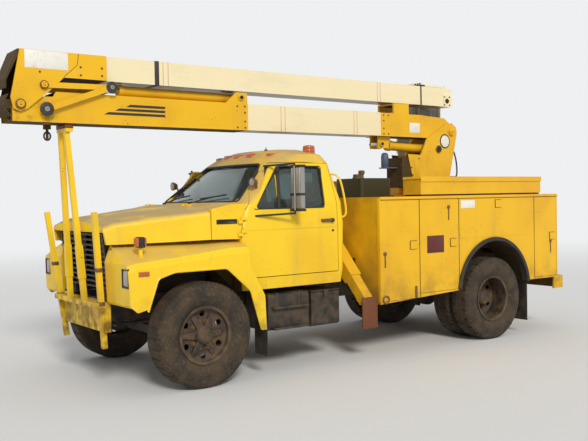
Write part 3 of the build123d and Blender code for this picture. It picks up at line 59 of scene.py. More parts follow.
class Value:
    """A socket in a finish. Sums and products of values add their own maths nodes."""

    def __init__(self, finish, socket):
        self.finish = finish
        self.socket = socket

    def maths(self, operation, first, second):
        return self.finish.node("ShaderNodeMath", {0: first, 1: second}, {"operation": operation})

    def __add__(self, other):
        return self.maths("ADD", self, other)

    __radd__ = __add__

    def __sub__(self, other):
        return self.maths("SUBTRACT", self, other)

    def __rsub__(self, other):
        return self.maths("SUBTRACT", other, self)

    def __mul__(self, other):
        return self.maths("MULTIPLY", self, other)

    def larger(self, other):
        return self.maths("MAXIMUM", self, other)

    def size(self):
        """The value without its sign."""
        return self.maths("ABSOLUTE", self, 0.0)

    def root(self):
        return self.maths("SQRT", self, 0.0)

    def sine(self):
        return self.maths("SINE", self, 0.0)

    def rising(self, low, high):
        """0 below low and 1 above high, with a smooth step between them."""
        inputs = {"Value": self, "From Min": low, "From Max": high}
        return self.finish.node("ShaderNodeMapRange", inputs, {"interpolation_type": "SMOOTHSTEP"})

    def falling(self, low, high):
        """1 below low and 0 above high."""
        return 1.0 - self.rising(low, high)


class Finish:
    """A procedural finish or backdrop, built node by node on an object's own coordinates."""

    def __init__(self, name, kind="materials"):
        self.owner = getattr(bpy.data, kind).new(name)
        self.owner.use_nodes = True
        self.tree = self.owner.node_tree
        self.tree.nodes.clear()

    def node(self, kind, inputs=None, settings=None, output=0):
        made = self.tree.nodes.new(kind)
        for name, value in (settings or {}).items():
            setattr(made, name, value)
        for name, value in (inputs or {}).items():
            if isinstance(value, Value):
                self.tree.links.new(value.socket, made.inputs[name])
            else:
                made.inputs[name].default_value = value
        return Value(self, made.outputs[output])

    def place(self):
        return self.node("ShaderNodeTexCoord", output=3)

    def along(self, axis):
        return self.node("ShaderNodeSeparateXYZ", {0: self.place()}, None, axis)

    # The place on the truck along each axis, in metres
    x = property(lambda self: self.along(0))
    y = property(lambda self: self.along(1))
    z = property(lambda self: self.along(2))

    def facing(self, axis):
        """How far the surface faces along one axis, from -1 to 1."""
        normal = self.node("ShaderNodeTexCoord", output=1)
        return self.node("ShaderNodeSeparateXYZ", {0: normal}, None, "XYZ".index(axis))

    def noise(self, scale, detail, stretch=(1.0, 1.0, 1.0)):
        spread = self.node("ShaderNodeMapping", {"Vector": self.place(), "Scale": stretch})
        return self.node("ShaderNodeTexNoise", {"Vector": spread, "Scale": scale, "Detail": detail})

    def patches(self, scale, detail, low, high, stretch=(1.0, 1.0, 1.0)):
        """Soft-edged blotches: 0 where the noise is below low and 1 where it is above high."""
        return self.noise(scale, detail, stretch).rising(low, high)

    def layers(self, colour, *coats):
        """A colour with coats laid over it in turn, each a share from 0 to 1 and a colour."""
        for share, coat in coats:
            colour = self.node("ShaderNodeMix", {0: share, 6: colour, 7: coat}, {"data_type": "RGBA"}, 2)
        return colour

    def bump(self, height, distance, strength):
        return self.node("ShaderNodeBump", {"Strength": strength, "Distance": distance, "Height": height})

    def waves(self, direction, scale):
        """Even stripes along one axis, as a height."""
        inputs = {"Vector": self.place(), "Scale": scale, "Distortion": 0.0}
        return self.node("ShaderNodeTexWave", inputs, {"bands_direction": direction}, 1)

    def surface(self, **sockets):
        """The shader itself; a constant goes on its own socket and a value is linked."""
        inputs = {name.replace("_", " "): value for name, value in sockets.items()}
        return self.put_out(self.node("ShaderNodeBsdfPrincipled", inputs))

    def put_out(self, shader, kind="Material"):
        output = self.tree.nodes.new("ShaderNodeOutput" + kind)
        self.tree.links.new(shader.socket, output.inputs["Surface"])
        return self.owner


def chip(red, green, blue):
    """A colour from a paint chip, 0 to 255 a channel, as the renderer's own values."""
    channels = []
    for value in (red, green, blue):
        share = value / 255
        channels.append(share / 12.92 if share <= 0.04045 else ((share + 0.055) / 1.055) ** 2.4)
    return (*channels, 1.0)


RUST = chip(112, 62, 32)
DUST = chip(150, 128, 88)
MUD = chip(98, 80, 56)
# Dark brown for grime, and for painted shade where a mask marks shade.
SOIL_AND_SHADE = chip(46, 38, 30)


# Where grime and painted shade lie

def in_front_wells(f):
    """The inner faces of the fenders, darkened with dirt out of reach of any washing and with painted shade.
    """
    near = (f.x - FRONT_AXLE).size().falling(0.69, 0.71)
    return near * f.y.size().falling(1.095, 1.105) * f.z.falling(1.2, 1.22)


def on_toe_board(f):
    """The cab's front seen through the wheel arch, darkened with dirt and painted shade."""
    near = (f.x - FRONT_AXLE).size().falling(0.76, 0.77)
    return near * f.y.size().falling(0.94, 0.95) * f.z.falling(1.2, 1.22)


def in_rear_wells(f):
    """The faces of the rear wheel arches, with dirt and painted shade, and the cab's painted shade in patches
    on faces behind it that look forward.
    """
    ahead = f.x - REAR_AXLE
    above = f.z - ARCH_HEIGHT
    reach = (ahead * ahead + above * above).root()
    # Dirt and painted shade inside the arches.
    arch = reach.falling(0.648, 0.656) * f.y.size().falling(1.13, 1.18)
    # Painted shade of the cab, broken into patches, on faces that look forward.
    behind_cab = f.facing("X").rising(0.8, 0.95) * f.patches(3.0, 5.0, 0.2, 0.7) * 0.4
    return arch.larger(behind_cab)


def bin_seams(f):
    """Wheel arches with dirt and painted shade, the cab's painted shade on faces behind it, and the grime
    that gathers where the doors meet.
    """
    seams = in_rear_wells(f)
    below_chest = f.z.falling(1.785, 1.79) * 0.75
    for seam in DOOR_SEAMS:
        seams = seams.larger((f.x - seam).size().falling(0.003, 0.009) * below_chest)
    return seams


def under_booms(f):
    """The boom's dark nose and hook, dirt and painted shade on its underside, and old grease round the pins.
    """
    # Dirt and painted shade on faces that look down.
    below = f.facing("Z").falling(-0.95, -0.6)
    nose = f.x.rising(3.508, 3.514)
    hook = f.x.rising(2.9, 3.0) * f.z.falling(2.588, 2.598)
    greasy = f.x.rising(2.95, 3.3) * f.z.falling(2.64, 2.85) * f.patches(9.0, 6.0, 0.4, 0.7) * 0.8
    return below.larger(nose).larger(hook).larger(greasy)


def on_elbow_covers(f):
    """The elbow's dark front cover, painted shade in the space between its plates, and dirt and painted shade
    on its underside.
    """
    cover = (f.x + f.z * 0.2086).rising(4.119, 4.123)
    # Painted shade between the plates, on faces that do not look up.
    between = f.y.size().falling(0.1635, 0.1645) * f.facing("Z").falling(0.5, 0.8)
    return cover.larger(between).larger(f.facing("Z").falling(-0.95, -0.6))


def under_deck(f):
    """Painted shade on the sills and crossmembers below the floor and on the step's hidden face, and the rear
    wheel arches with their dirt and painted shade.
    """
    ahead = f.x.rising(BODY_REAR, BODY_REAR + 0.01)
    # Painted shade below the floor.
    below = f.z.falling(1.112, 1.118) * ahead
    behind_step = f.z.falling(1.0, 1.05) * f.y.size().falling(1.05, 1.08)
    # Painted shade on the faces that look forward, low behind the step.
    hidden = f.facing("X").rising(0.5, 0.9) * behind_step * 0.9
    return in_rear_wells(f).larger(below).larger(hidden)


def on_turret_front(f):
    """The valve box between the cheeks, dark with painted shade, and runs of oil low on the turret."""
    # Painted shade between the cheeks.
    box = f.x.rising(-1.742, -1.736) * f.y.size().falling(0.152, 0.156)
    runs = f.z.falling(2.0, 2.5) * f.patches(8.0, 5.0, 0.5, 0.75, (1.0, 1.0, 0.2))
    return box.larger(runs * 0.45)


def on_rack_feet(f):
    """The lower ends of the posts and the foot plate, worn bare and brown."""
    return f.z.falling(0.75, 1.0) * f.patches(9.0, 6.0, 0.3, 0.75) * 0.9


def on_bucket(f):
    """The beam's painted shadow on the bucket's walls beside it, below the beam's edge, unevenly dark."""
    # Painted shadow of the beam.
    shaded = (f.facing("Y") + f.facing("X")).rising(0.5, 0.9) * f.z.falling(3.05, 3.25)
    return shaded * (f.noise(6.0, 5.0) * 0.3 + 0.74)


def tread_pattern(f):
    """Crossed lozenges rolled into the upper face of floor plates."""
    along, across = f.x * 90.0, f.y * 90.0
    wave = (along + across).sine() * (along - across).sine()
    return wave.rising(0.35, 0.6) * f.facing("Z").rising(0.9, 0.98) * 0.5


# Finishes

def painted_steel(
    name, fresh, faded, gloss, rust, chalk=0.0, chalky=DUST, grime_and_shade=None, raised=None, soil=SOIL_AND_SHADE
):
    """Old enamel on sheet steel: faded patches, runs of grime, rust spots, road dust low down, and a mask's
    dark coat of grime and painted shade.
    """
    f = Finish(name)
    patches = f.patches(1.3, 4.0, 0.42, 0.7)
    runs = f.patches(5.0, 3.0, 0.56, 0.8, (1.0, 1.0, 0.12))
    splash = f.z.falling(0.45, 1.15) * f.patches(7.0, 5.0, 0.3, 0.75)
    spots = f.patches(46.0, 2.0, 0.66, 0.7) * f.patches(2.6, 3.0, 0.48, 0.62)
    coats = [(patches, faded), (runs * 0.22, DUST)]
    dusty = splash * 0.75
    if chalk:
        settled = f.facing("Z").rising(0.3, 0.95) * f.patches(3.0, 5.0, 0.15, 0.55) * chalk
        coats.append((settled, chalky))
        dusty = dusty.larger(settled)
    coats += [(splash * 0.6, MUD), (spots * rust, RUST)]
    # A mask's dark coat: grime in some places, painted shade in others.
    if grime_and_shade:
        grime = grime_and_shade(f)
        coats.append((grime * (0.9 + f.noise(18.0, 5.0) * 0.1), soil))
        dusty = dusty.larger(grime)
    sheet = f.noise(2.2, 2.0) + f.noise(160.0, 2.0) * 0.04
    if raised:
        sheet = sheet + raised(f)
    return f.surface(
        Base_Color=f.layers(fresh, *coats),
        Roughness=gloss + dusty * 0.4 + spots * 0.2,
        Normal=f.bump(sheet, 0.006, 0.6),
        Specular_IOR_Level=0.32,
        Coat_Weight=0.12 - dusty * 0.12,
        Coat_Roughness=0.2,
    )


def moulded_glass_fibre(name, fresh, grimy, grime_and_shade=None):
    """Gelcoat on glass fibre: faint weave, painted shade on the faces that look down, small stains, and a
    mask's painted shadow where one is given.
    """
    f = Finish(name)
    weave = f.noise(120.0, 2.0, (1.0, 1.0, 6.0))
    stains = f.patches(3.4, 5.0, 0.52, 0.78, (0.4, 1.0, 1.0))
    specks = f.patches(60.0, 2.0, 0.7, 0.74)
    # Painted shade on faces that look down.
    under = f.facing("Z").falling(-0.95, -0.5)
    coats = [(stains * 0.35, grimy), (under * 0.85, chip(66, 60, 50)), (specks * 0.35, MUD)]
    # A mask's dark coat here is painted shadow.
    if grime_and_shade:
        coats.append((grime_and_shade(f), SOIL_AND_SHADE))
    return f.surface(
        Base_Color=f.layers(fresh, *coats),
        Roughness=0.38 + stains * 0.25,
        Normal=f.bump(weave, 0.0006, 0.5),
        Coat_Weight=0.15,
    )


def dusty_black(name, clean, dust, heavy, gloss=0.55):
    """Black parts under the truck, dulled by dry mud that lies thickest low down."""
    f = Finish(name)
    cake = f.patches(9.0, 6.0, 0.34, 0.7)
    low = f.z.falling(0.3, 1.6)
    share = cake * heavy * (low * 0.7 + 0.3)
    flecks = f.patches(70.0, 3.0, 0.62, 0.7)
    return f.surface(
        Base_Color=f.layers(clean, (share, dust), (flecks * 0.3, RUST)),
        Roughness=gloss + share * 0.35,
        Normal=f.bump(f.noise(90.0, 4.0) * 0.4 + cake * 0.6, 0.002, 0.7),
    )


def tyre_rubber():
    """Weathered tread rubber: brown dust on the walls, pale soil packed near the shoulder."""
    f = Finish("tyre_rubber")
    cake = f.patches(6.0, 6.0, 0.3, 0.72)
    soil = f.patches(38.0, 4.0, 0.55, 0.7)
    caked = (cake * 0.8 + 0.1, chip(78, 62, 43))
    return f.surface(
        Base_Color=f.layers(chip(36, 32, 27), caked, (soil * 0.3, chip(116, 98, 68))),
        Roughness=0.86,
        Normal=f.bump(f.noise(120.0, 4.0), 0.0015, 0.8),
    )


def window_glass():
    """Dusty tinted glass."""
    f = Finish("window_glass")
    film = f.patches(4.0, 5.0, 0.35, 0.8)
    return f.surface(
        Base_Color=chip(142, 160, 158),
        Roughness=0.03 + film * 0.12,
        Transmission_Weight=0.92,
        IOR=1.45,
        Specular_IOR_Level=0.6,
    )


def polished_steel(name, tone, shine):
    """Bare or plated steel with fine scratches and a dull film."""
    f = Finish(name)
    film = f.patches(14.0, 5.0, 0.4, 0.75)
    scratches = f.noise(240.0, 2.0, (0.06, 1.0, 1.0))
    return f.surface(
        Base_Color=f.layers(tone, (film * 0.5, chip(140, 126, 104))),
        Metallic=1.0,
        Roughness=shine + film * 0.25 + scratches * 0.06,
        Normal=f.bump(scratches, 0.0004, 0.3),
    )


def amber_lens(name, tone):
    """A ribbed plastic lens."""
    f = Finish(name)
    ribs = f.waves("Z", 60.0)
    grime = f.patches(30.0, 4.0, 0.45, 0.75)
    return f.surface(
        Base_Color=f.layers(tone, (grime * 0.4, chip(108, 58, 24))),
        Roughness=0.22 + grime * 0.3,
        Normal=f.bump(ribs, 0.002, 0.5),
        Coat_Weight=0.6,
        Subsurface_Weight=0.15,
        Subsurface_Scale=0.01,
    )


def seat_vinyl():
    """Dark grained vinyl with a seat's worn, paler middle."""
    f = Finish("seat_vinyl")
    grain = f.node("ShaderNodeTexVoronoi", {"Vector": f.place(), "Scale": 260.0})
    worn = f.patches(5.0, 4.0, 0.4, 0.7)
    return f.surface(
        Base_Color=f.layers(chip(54, 48, 42), (worn * 0.6, chip(88, 78, 66))),
        Roughness=0.5 + worn * 0.2,
        Normal=f.bump(grain, 0.0008, 0.6),
    )


def rusty_steel(name, clean, share):
    """Old steel fittings with a brown crust over worn paint."""
    f = Finish(name)
    crust = f.patches(24.0, 6.0, 0.58 - share, 0.72)
    grain = f.noise(140.0, 4.0)
    dark = f.patches(60.0, 3.0, 0.5, 0.7)
    return f.surface(
        Base_Color=f.layers(clean, (crust, RUST), (dark * 0.5, chip(72, 46, 30))),
        Roughness=0.5 + crust * 0.35,
        Metallic=0.5 - crust * 0.5,
        Normal=f.bump(grain * 0.6 + crust * 0.4, 0.0012, 0.8),
    )


def blank_plate(name, tone, worn):
    """A bare painted plate, scuffed and stained, with nothing written on it."""
    f = Finish(name)
    stains = f.patches(12.0, 5.0, 0.5, 0.78)
    scuffs = f.patches(90.0, 3.0, 0.62, 0.72, (1.0, 1.0, 0.2))
    return f.surface(
        Base_Color=f.layers(tone, (stains * 0.4, worn), (scuffs * 0.3, MUD)),
        Roughness=0.45 + stains * 0.3,
        Normal=f.bump(f.noise(60.0, 2.0), 0.0006, 0.4),
    )


def mirror_frame():
    """A mirror's bright case on its black arms."""
    f = Finish("mirror_case_and_arms")
    case = f.y.size().rising(1.008, 1.012) * f.z.rising(1.69, 1.7) * f.z.falling(2.15, 2.16)
    film = f.patches(14.0, 5.0, 0.4, 0.75)
    return f.surface(
        Base_Color=f.layers(chip(30, 28, 28), (case, chip(170, 166, 158))),
        Metallic=case,
        Roughness=0.5 - case * 0.2 + film * 0.2,
    )


def clear_lens():
    """The fluted glass of a headlamp over its bright bowl."""
    f = Finish("headlamp_glass")
    flutes = f.waves("Y", 12.0)
    haze = f.patches(12.0, 4.0, 0.4, 0.8)
    fluting = (flutes * 0.6, chip(118, 104, 100))
    return f.surface(
        Base_Color=f.layers(chip(176, 162, 158), fluting, (haze * 0.4, chip(150, 132, 110))),
        Roughness=0.2 + haze * 0.2,
        Coat_Weight=0.5,
    )


ENAMEL = (chip(244, 203, 34), chip(236, 188, 32), 0.4)
# The second enamel is the same yellow made deeper and more orange: painted shade, for every yellow part but
# the cab, hood, fenders and rack.
SHADED_ENAMEL = (chip(234, 182, 22), chip(222, 168, 24), 0.45)
CHALK = chip(196, 166, 104)
YELLOW = painted_steel("yellow_enamel", *SHADED_ENAMEL, 0.6, 0.2, CHALK)
CAB_YELLOW = painted_steel("cab_yellow_enamel", *ENAMEL, 0.4, 0.9, chip(182, 154, 106), on_toe_board)
FENDER_YELLOW = painted_steel("fender_yellow_enamel", *ENAMEL, 0.5, 0.6, CHALK, in_front_wells)
RACK_YELLOW = painted_steel(
    "rack_yellow_enamel", *ENAMEL, 1.0, grime_and_shade=on_rack_feet, soil=chip(82, 52, 32)
)
BIN_YELLOW = painted_steel("bin_yellow_enamel", *SHADED_ENAMEL, 0.6, 0.35, CHALK, bin_seams)
BOOM_YELLOW = painted_steel("boom_yellow_enamel", *SHADED_ENAMEL, 0.8, 0.3, CHALK, under_booms)
TURRET_YELLOW = painted_steel("turret_yellow_enamel", *SHADED_ENAMEL, 0.8, 0.3, CHALK, on_turret_front)
DECK_YELLOW = painted_steel("deck_yellow_enamel", *SHADED_ENAMEL, 1.0, 0.8, CHALK, under_deck, tread_pattern)
BUCKET_CREAM = moulded_glass_fibre("bucket_gelcoat", chip(238, 228, 204), chip(206, 190, 150), on_bucket)
FRAME_BLACK = dusty_black("muddy_frame_black", chip(34, 31, 29), chip(92, 76, 56), 0.75)
WHEEL_BLACK = dusty_black("muddy_wheel_black", chip(50, 41, 32), chip(100, 80, 56), 0.95, 0.6)
GRILLE_BLACK = dusty_black("grille_black", chip(30, 28, 30), chip(84, 72, 56), 0.45, 0.42)
CASTING = dusty_black("oily_casting", chip(48, 44, 40), chip(84, 70, 52), 0.7)
RUBBER = dusty_black("black_rubber", chip(36, 33, 31), chip(92, 76, 56), 0.6, 0.7)
MOTOR_BLUE = painted_steel("grey_blue_enamel", chip(88, 98, 122), chip(74, 82, 100), 0.5, 0.4)
TYRE = tyre_rubber()
STEEL = polished_steel("dull_stainless", chip(176, 172, 164), 0.25)
MIRROR_FACE = polished_steel("mirror_silver", chip(222, 226, 228), 0.02)
AMBER = amber_lens("amber_lens", chip(190, 92, 26))
TAIL_RED = amber_lens("tail_lens", chip(150, 26, 20))
LAMP_GLASS = clear_lens()
MIRROR_FRAME = mirror_frame()
RUSTY = rusty_steel("rusty_fittings", chip(120, 96, 64), 0.1)
RUSTY_BROWN = rusty_steel("rusty_plate", chip(120, 74, 46), 0.22)
PLATE_WHITE = blank_plate("blank_white_plate", chip(232, 230, 220), chip(196, 180, 142))
FADED_RED = blank_plate("faded_red_line", chip(214, 172, 146), chip(206, 172, 138))
PLATE_RED = blank_plate("blank_red_plate", chip(92, 30, 26), chip(66, 36, 30))
STRIPE_BLACK = blank_plate("black_stripe_tape", chip(40, 36, 30), chip(70, 58, 36))
FINISHES = {
    "yellow_paint": YELLOW,
    "hood_paint": painted_steel("chalky_yellow_enamel", *ENAMEL, 0.3, 0.95, chip(176, 154, 108)),
    "white_fibreglass": moulded_glass_fibre("cream_gelcoat", chip(238, 224, 182), chip(206, 190, 150)),
    "frame_black": FRAME_BLACK,
    "wheel_black": WHEEL_BLACK,
    "grille_black": GRILLE_BLACK,
    "cast_engine": CASTING,
    "tank_green": painted_steel("olive_tank_enamel", chip(58, 57, 32), chip(50, 46, 30), 0.5, 0.5, 0.5),
    "bright_rod": polished_steel("bright_rod_plate", chip(206, 204, 200), 0.12),
    "mirror_black": GRILLE_BLACK,
    "glass": window_glass(),
    "seat_cloth": seat_vinyl(),
    "lamp_amber": AMBER,
    "rubber": RUBBER,
    "tyre": TYRE,
}
NODE_FINISHES = {
    "cab_shell": CAB_YELLOW,
    "fenders": FENDER_YELLOW,
    "front_rack": RACK_YELLOW,
    "bucket": BUCKET_CREAM,
    "lower_boom": BOOM_YELLOW,
    "upper_boom_elbow": painted_steel("elbow_yellow_enamel", *SHADED_ENAMEL, 0.8, 0.3, CHALK, on_elbow_covers),
    "guide_link": BOOM_YELLOW,
    "drive_link": BOOM_YELLOW,
    "turret": TURRET_YELLOW,
    "deck": DECK_YELLOW,
}
for side in ("left", "right"):
    NODE_FINISHES[side + "_cab_door"] = CAB_YELLOW
    NODE_FINISHES[side + "_mirror"] = MIRROR_FRAME
    for box in ("bins", "front_bin_door", "middle_bin_door", "wheel_bin_door", "rear_bin_door"):
        NODE_FINISHES[side + "_" + box] = BIN_YELLOW


def dress_solids():
    """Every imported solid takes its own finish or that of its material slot."""
    for entry in frame["record"]["subparts"]:
        solid = frame["nodes"][entry["node"]]
        finish = NODE_FINISHES.get(entry["node"], FINISHES[entry["material_slot"]])
        if not solid.material_slots:
            solid.data.materials.append(finish)
        for place in solid.material_slots:
            place.material = finish


# Modelling

def take(piece):
    """Makes one piece the only selected and the active one."""
    bpy.ops.object.select_all(action="DESELECT")
    piece.select_set(True)
    bpy.context.view_layer.objects.active = piece


def started():
    """The primitive that was just added, with its place put into its mesh."""
    piece = bpy.context.object
    take(piece)
    bpy.ops.object.transform_apply(location=True, rotation=True, scale=True)
    return piece


def edit(piece, kind="FACE"):
    take(piece)
    bpy.ops.object.mode_set(mode="EDIT")
    bpy.ops.mesh.select_mode(type=kind)
    bpy.ops.mesh.select_all(action="DESELECT")


def pick(kind, test):
    """Selects the vertices or faces that pass a test on their middle and normal."""
    mesh = bmesh.from_edit_mesh(bpy.context.object.data)
    for item in getattr(mesh, kind):
        middle = item.co if kind == "verts" else item.calc_center_median()
        item.select_set(test(middle, item.normal))
    mesh.select_flush_mode()
    bmesh.update_edit_mesh(bpy.context.object.data)


def leave():
    bpy.ops.object.mode_set(mode="OBJECT")


MERGE_GAP = 0.00002


def closed_up(piece):
    """Merges doubles and turns every face outwards."""
    edit(piece)
    bpy.ops.mesh.select_all(action="SELECT")
    bpy.ops.mesh.remove_doubles(threshold=MERGE_GAP)
    bpy.ops.mesh.normals_make_consistent(inside=False)
    leave()
    return piece


def smoothed(piece, angle):
    """Shades edges smooth where they turn less than an angle in degrees."""
    take(piece)
    bpy.ops.object.shade_smooth_by_angle(angle=math.radians(angle))
    return piece


def modified(piece, kind, **settings):
    """Adds a modifier and applies it."""
    take(piece)
    modifier = piece.modifiers.new("shape", kind)
    for name, value in settings.items():
        setattr(modifier, name, value)
    bpy.ops.object.modifier_apply(modifier=modifier.name)


def rounded(piece, width, segments=2, angle=35):
    """Rounds the sharp edges with a bevel, and smooths what is left."""
    modified(
        piece, "BEVEL", width=width, segments=segments, limit_method="ANGLE", angle_limit=math.radians(angle)
    )
    return smoothed(piece, angle)


def block(x, y, z, bevel=0.004, segments=2):
    """A box between the low and the high value on each axis, its edges rounded."""
    centre = [(low + high) / 2 for low, high in (x, y, z)]
    size = [high - low for low, high in (x, y, z)]
    bpy.ops.mesh.primitive_cube_add(size=1, location=centre, scale=size)
    piece = started()
    return rounded(piece, bevel, segments) if bevel else piece


TURNS = {"X": (0.0, math.pi / 2, 0.0), "Y": (-math.pi / 2, 0.0, 0.0), "Z": (0.0, 0.0, 0.0)}


def lathe(axis, centre, profile, steps=24, ring=False, smooth=30):
    """A turned piece: a circle extruded through a profile of (radius, distance along the axis)."""
    step = Vector([float(letter == axis) for letter in "XYZ"])
    middle = Vector(centre)
    radius, place = profile[0]
    bpy.ops.mesh.primitive_circle_add(
        vertices=steps, radius=radius, fill_type="NOTHING" if ring else "NGON",
        location=middle + step * place, rotation=TURNS[axis],
    )
    piece = started()
    edit(piece, "EDGE")
    bpy.ops.mesh.select_all(action="SELECT")
    extrude = bpy.ops.mesh.extrude_edges_move if ring else bpy.ops.mesh.extrude_region_move
    for wider, further in profile[1:] + (profile[:1] if ring else []):
        extrude(TRANSFORM_OT_translate={"value": step * (further - place)})
        grow = wider / radius
        bpy.ops.transform.resize(value=(grow, grow, grow), center_override=middle + step * further)
        radius, place = wider, further
    leave()
    return smoothed(closed_up(piece), smooth)


def line_mesh(points, kind, loop=False, **settings):
    """A curve through points, made a mesh in the shape that the curve's settings give it."""
    curve = bpy.data.curves.new("line", "CURVE")
    for name, value in settings.items():
        setattr(curve, name, value)
    line = curve.splines.new(kind)
    line.points.add(len(points) - 1)
    for point, place in zip(line.points, points):
        point.co = (*place, 1.0)
    line.use_cyclic_u = loop
    line.order_u = 3
    line.use_endpoint_u = not loop
    line.resolution_u = 4
    piece = bpy.data.objects.new("line", curve)
    bpy.context.scene.collection.objects.link(piece)
    take(piece)
    bpy.ops.object.convert(target="MESH")
    return bpy.context.object


def pipe(points, radius, loop=False):
    """A round bar or tube along a smooth line of points, with closed ends."""
    bar = line_mesh(
        points, "NURBS", loop, dimensions="3D", bevel_depth=radius, bevel_resolution=1, use_fill_caps=True
    )
    return smoothed(closed_up(bar), 45)


def ribbon(outline, low, high, thickness):
    """A bent strip: a line of (place along the truck, height) made as wide as two sides allow."""
    points = [(x, z, 0.0) for x, z in outline]
    piece = line_mesh(points, "POLY", dimensions="2D", fill_mode="NONE", extrude=(high - low) / 2)
    upright = Matrix.Rotation(math.pi / 2, 4, "X")
    piece.matrix_world = Matrix.Translation((0.0, (low + high) / 2, 0.0)) @ upright
    bpy.ops.object.transform_apply(location=True, rotation=True, scale=True)
    modified(closed_up(piece), "SOLIDIFY", thickness=thickness, offset=0.0)
    return rounded(piece, thickness / 4, 2, 50)


def sleeve(x, half_width, z, thickness):
    """A band round a boom, open at its two ends."""
    piece = block(x, (-half_width, half_width), z, 0.0)
    edit(piece)
    pick("faces", lambda at, way: abs(way.x) > 0.9)
    bpy.ops.mesh.delete(type="FACE")
    leave()
    modified(piece, "SOLIDIFY", thickness=thickness, offset=1.0)
    return rounded(piece, thickness / 3, 2, 50)


AHEAD = Vector((1.0, 0.0, 0.0))
LEFT = Vector((0.0, 1.0, 0.0))


def hollowed(piece, outwards, rim, depth):
    """Sinks the flat face that looks outwards, leaving a rim round it."""
    edit(piece)
    pick("faces", lambda at, way: way.dot(outwards) > 0.99)
    bpy.ops.mesh.inset(thickness=rim)
    bpy.ops.mesh.extrude_region_move(TRANSFORM_OT_translate={"value": outwards * -depth})
    leave()
    return piece


def softened(corners, radius, share, loop=True):
    """A line with a point before and after each corner, for a curve that rounds it."""

    def beside(corner, other):
        gap = Vector(other) - Vector(corner)
        return tuple(Vector(corner) + gap.normalized() * min(radius, gap.length * share))

    bends = corners[-1:] + corners + corners[:1] if loop else corners
    line = []
    for before, corner, after in zip(bends, bends[1:], bends[2:]):
        line += [beside(corner, before), corner, beside(corner, after)]
    return line if loop else [corners[0], *line, corners[-1]]


def circle_line(x, y, z, wide, high):
    """Ten points round an upright ellipse that looks to the side."""
    angles = [math.tau * number / 10 for number in range(10)]
    return [(x + wide * math.cos(angle), y, z + high * math.sin(angle)) for angle in angles]


MIRROR = Matrix.Scale(-1.0, 4, (0.0, 1.0, 0.0))


def copied(piece, matrix):
    """A copy with its own mesh, moved by a matrix; a mirror image is turned right side out."""
    twin = piece.copy()
    twin.data = piece.data.copy()
    twin.data.transform(matrix)
    if matrix.determinant() < 0:
        twin.data.flip_normals()
    bpy.context.scene.collection.objects.link(twin)
    return twin


def turned(piece, axis, centre, count):
    """Copies of one piece, spread evenly round an axis through a point; the first is used up."""
    there = Matrix.Translation(centre)
    back = Matrix.Translation(-Vector(centre))
    turns = [Matrix.Rotation(math.tau * number / count, 4, axis) for number in range(count)]
    copies = [copied(piece, there @ turn @ back) for turn in turns]
    bpy.data.objects.remove(piece)
    return copies


def joined(*parts):
    """Several parts made one."""
    take(parts[0])
    for part in parts[1:]:
        part.select_set(True)
    if len(parts) > 1:
        bpy.ops.object.join()
    return parts[0]


def single(name, body, finish, slot, *parts):
    """Makes parts one named piece, gives it its finish and fixes it to a body."""
    piece = joined(*parts)
    piece.name = name
    piece.data.name = name
    piece.data.materials.clear()
    piece.data.materials.append(finish)
    for face in piece.data.polygons:
        face.material_index = 0
    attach(piece, body)
    return piece


def pair(name, body, finish, slot, *parts):
    """A piece on the left and its mirror image on the right; {side} names the body's side."""
    left = joined(*parts)
    right = copied(left, MIRROR)
    return (
        single("left_" + name, body.format(side="left"), finish, slot, left),
        single("right_" + name, body.format(side="right"), finish, slot, right),
    )


def hex_bolt(axis, centre, size, height):
    """A hexagon head on its washer, with a chamfered top and the shank's end."""
    head = lathe(axis, centre, [
        (size, height * 0.18), (size, height * 0.8), (size * 0.86, height), (size * 0.5, height),
        (size * 0.5, height * 1.35), (size * 0.42, height * 1.5),
    ], 6, smooth=10)
    washer = lathe(axis, centre, [(size * 1.35, 0.0), (size * 1.35, height * 0.2)], 12)
    return joined(head, washer)


# Wheels

WALL_TO_SHOULDER = [
    (0.272, 0.098), (0.290, 0.101), (0.302, 0.108), (0.318, 0.116), (0.324, 0.121), (0.350, 0.129),
    (0.378, 0.134), (0.384, 0.1365), (0.390, 0.135), (0.430, 0.133), (0.462, 0.1285), (0.466, 0.1315),
    (0.492, 0.123), (0.500, 0.119), (0.508, 0.112), (0.5135, 0.104),
]
TREAD_RADIUS = 0.5148
GROOVE_RADIUS = 0.503
TREAD_WIDTH = 0.2


def tyre_profile(ribs):
    """The section of a tyre with grooves between its ribs, as (radius, distance from the middle)."""
    tread = []
    pitch = TREAD_WIDTH / ribs
    for number in range(ribs):
        start = TREAD_WIDTH / 2 - pitch * number
        end = start - pitch
        tread += [(TREAD_RADIUS, start - 0.0035), (TREAD_RADIUS, end + 0.0035)]
        if number < ribs - 1:
            tread += [(GROOVE_RADIUS, end + 0.0025), (GROOVE_RADIUS, end - 0.0025)]
    return WALL_TO_SHOULDER + tread + [(radius, -place) for radius, place in reversed(WALL_TO_SHOULDER)]


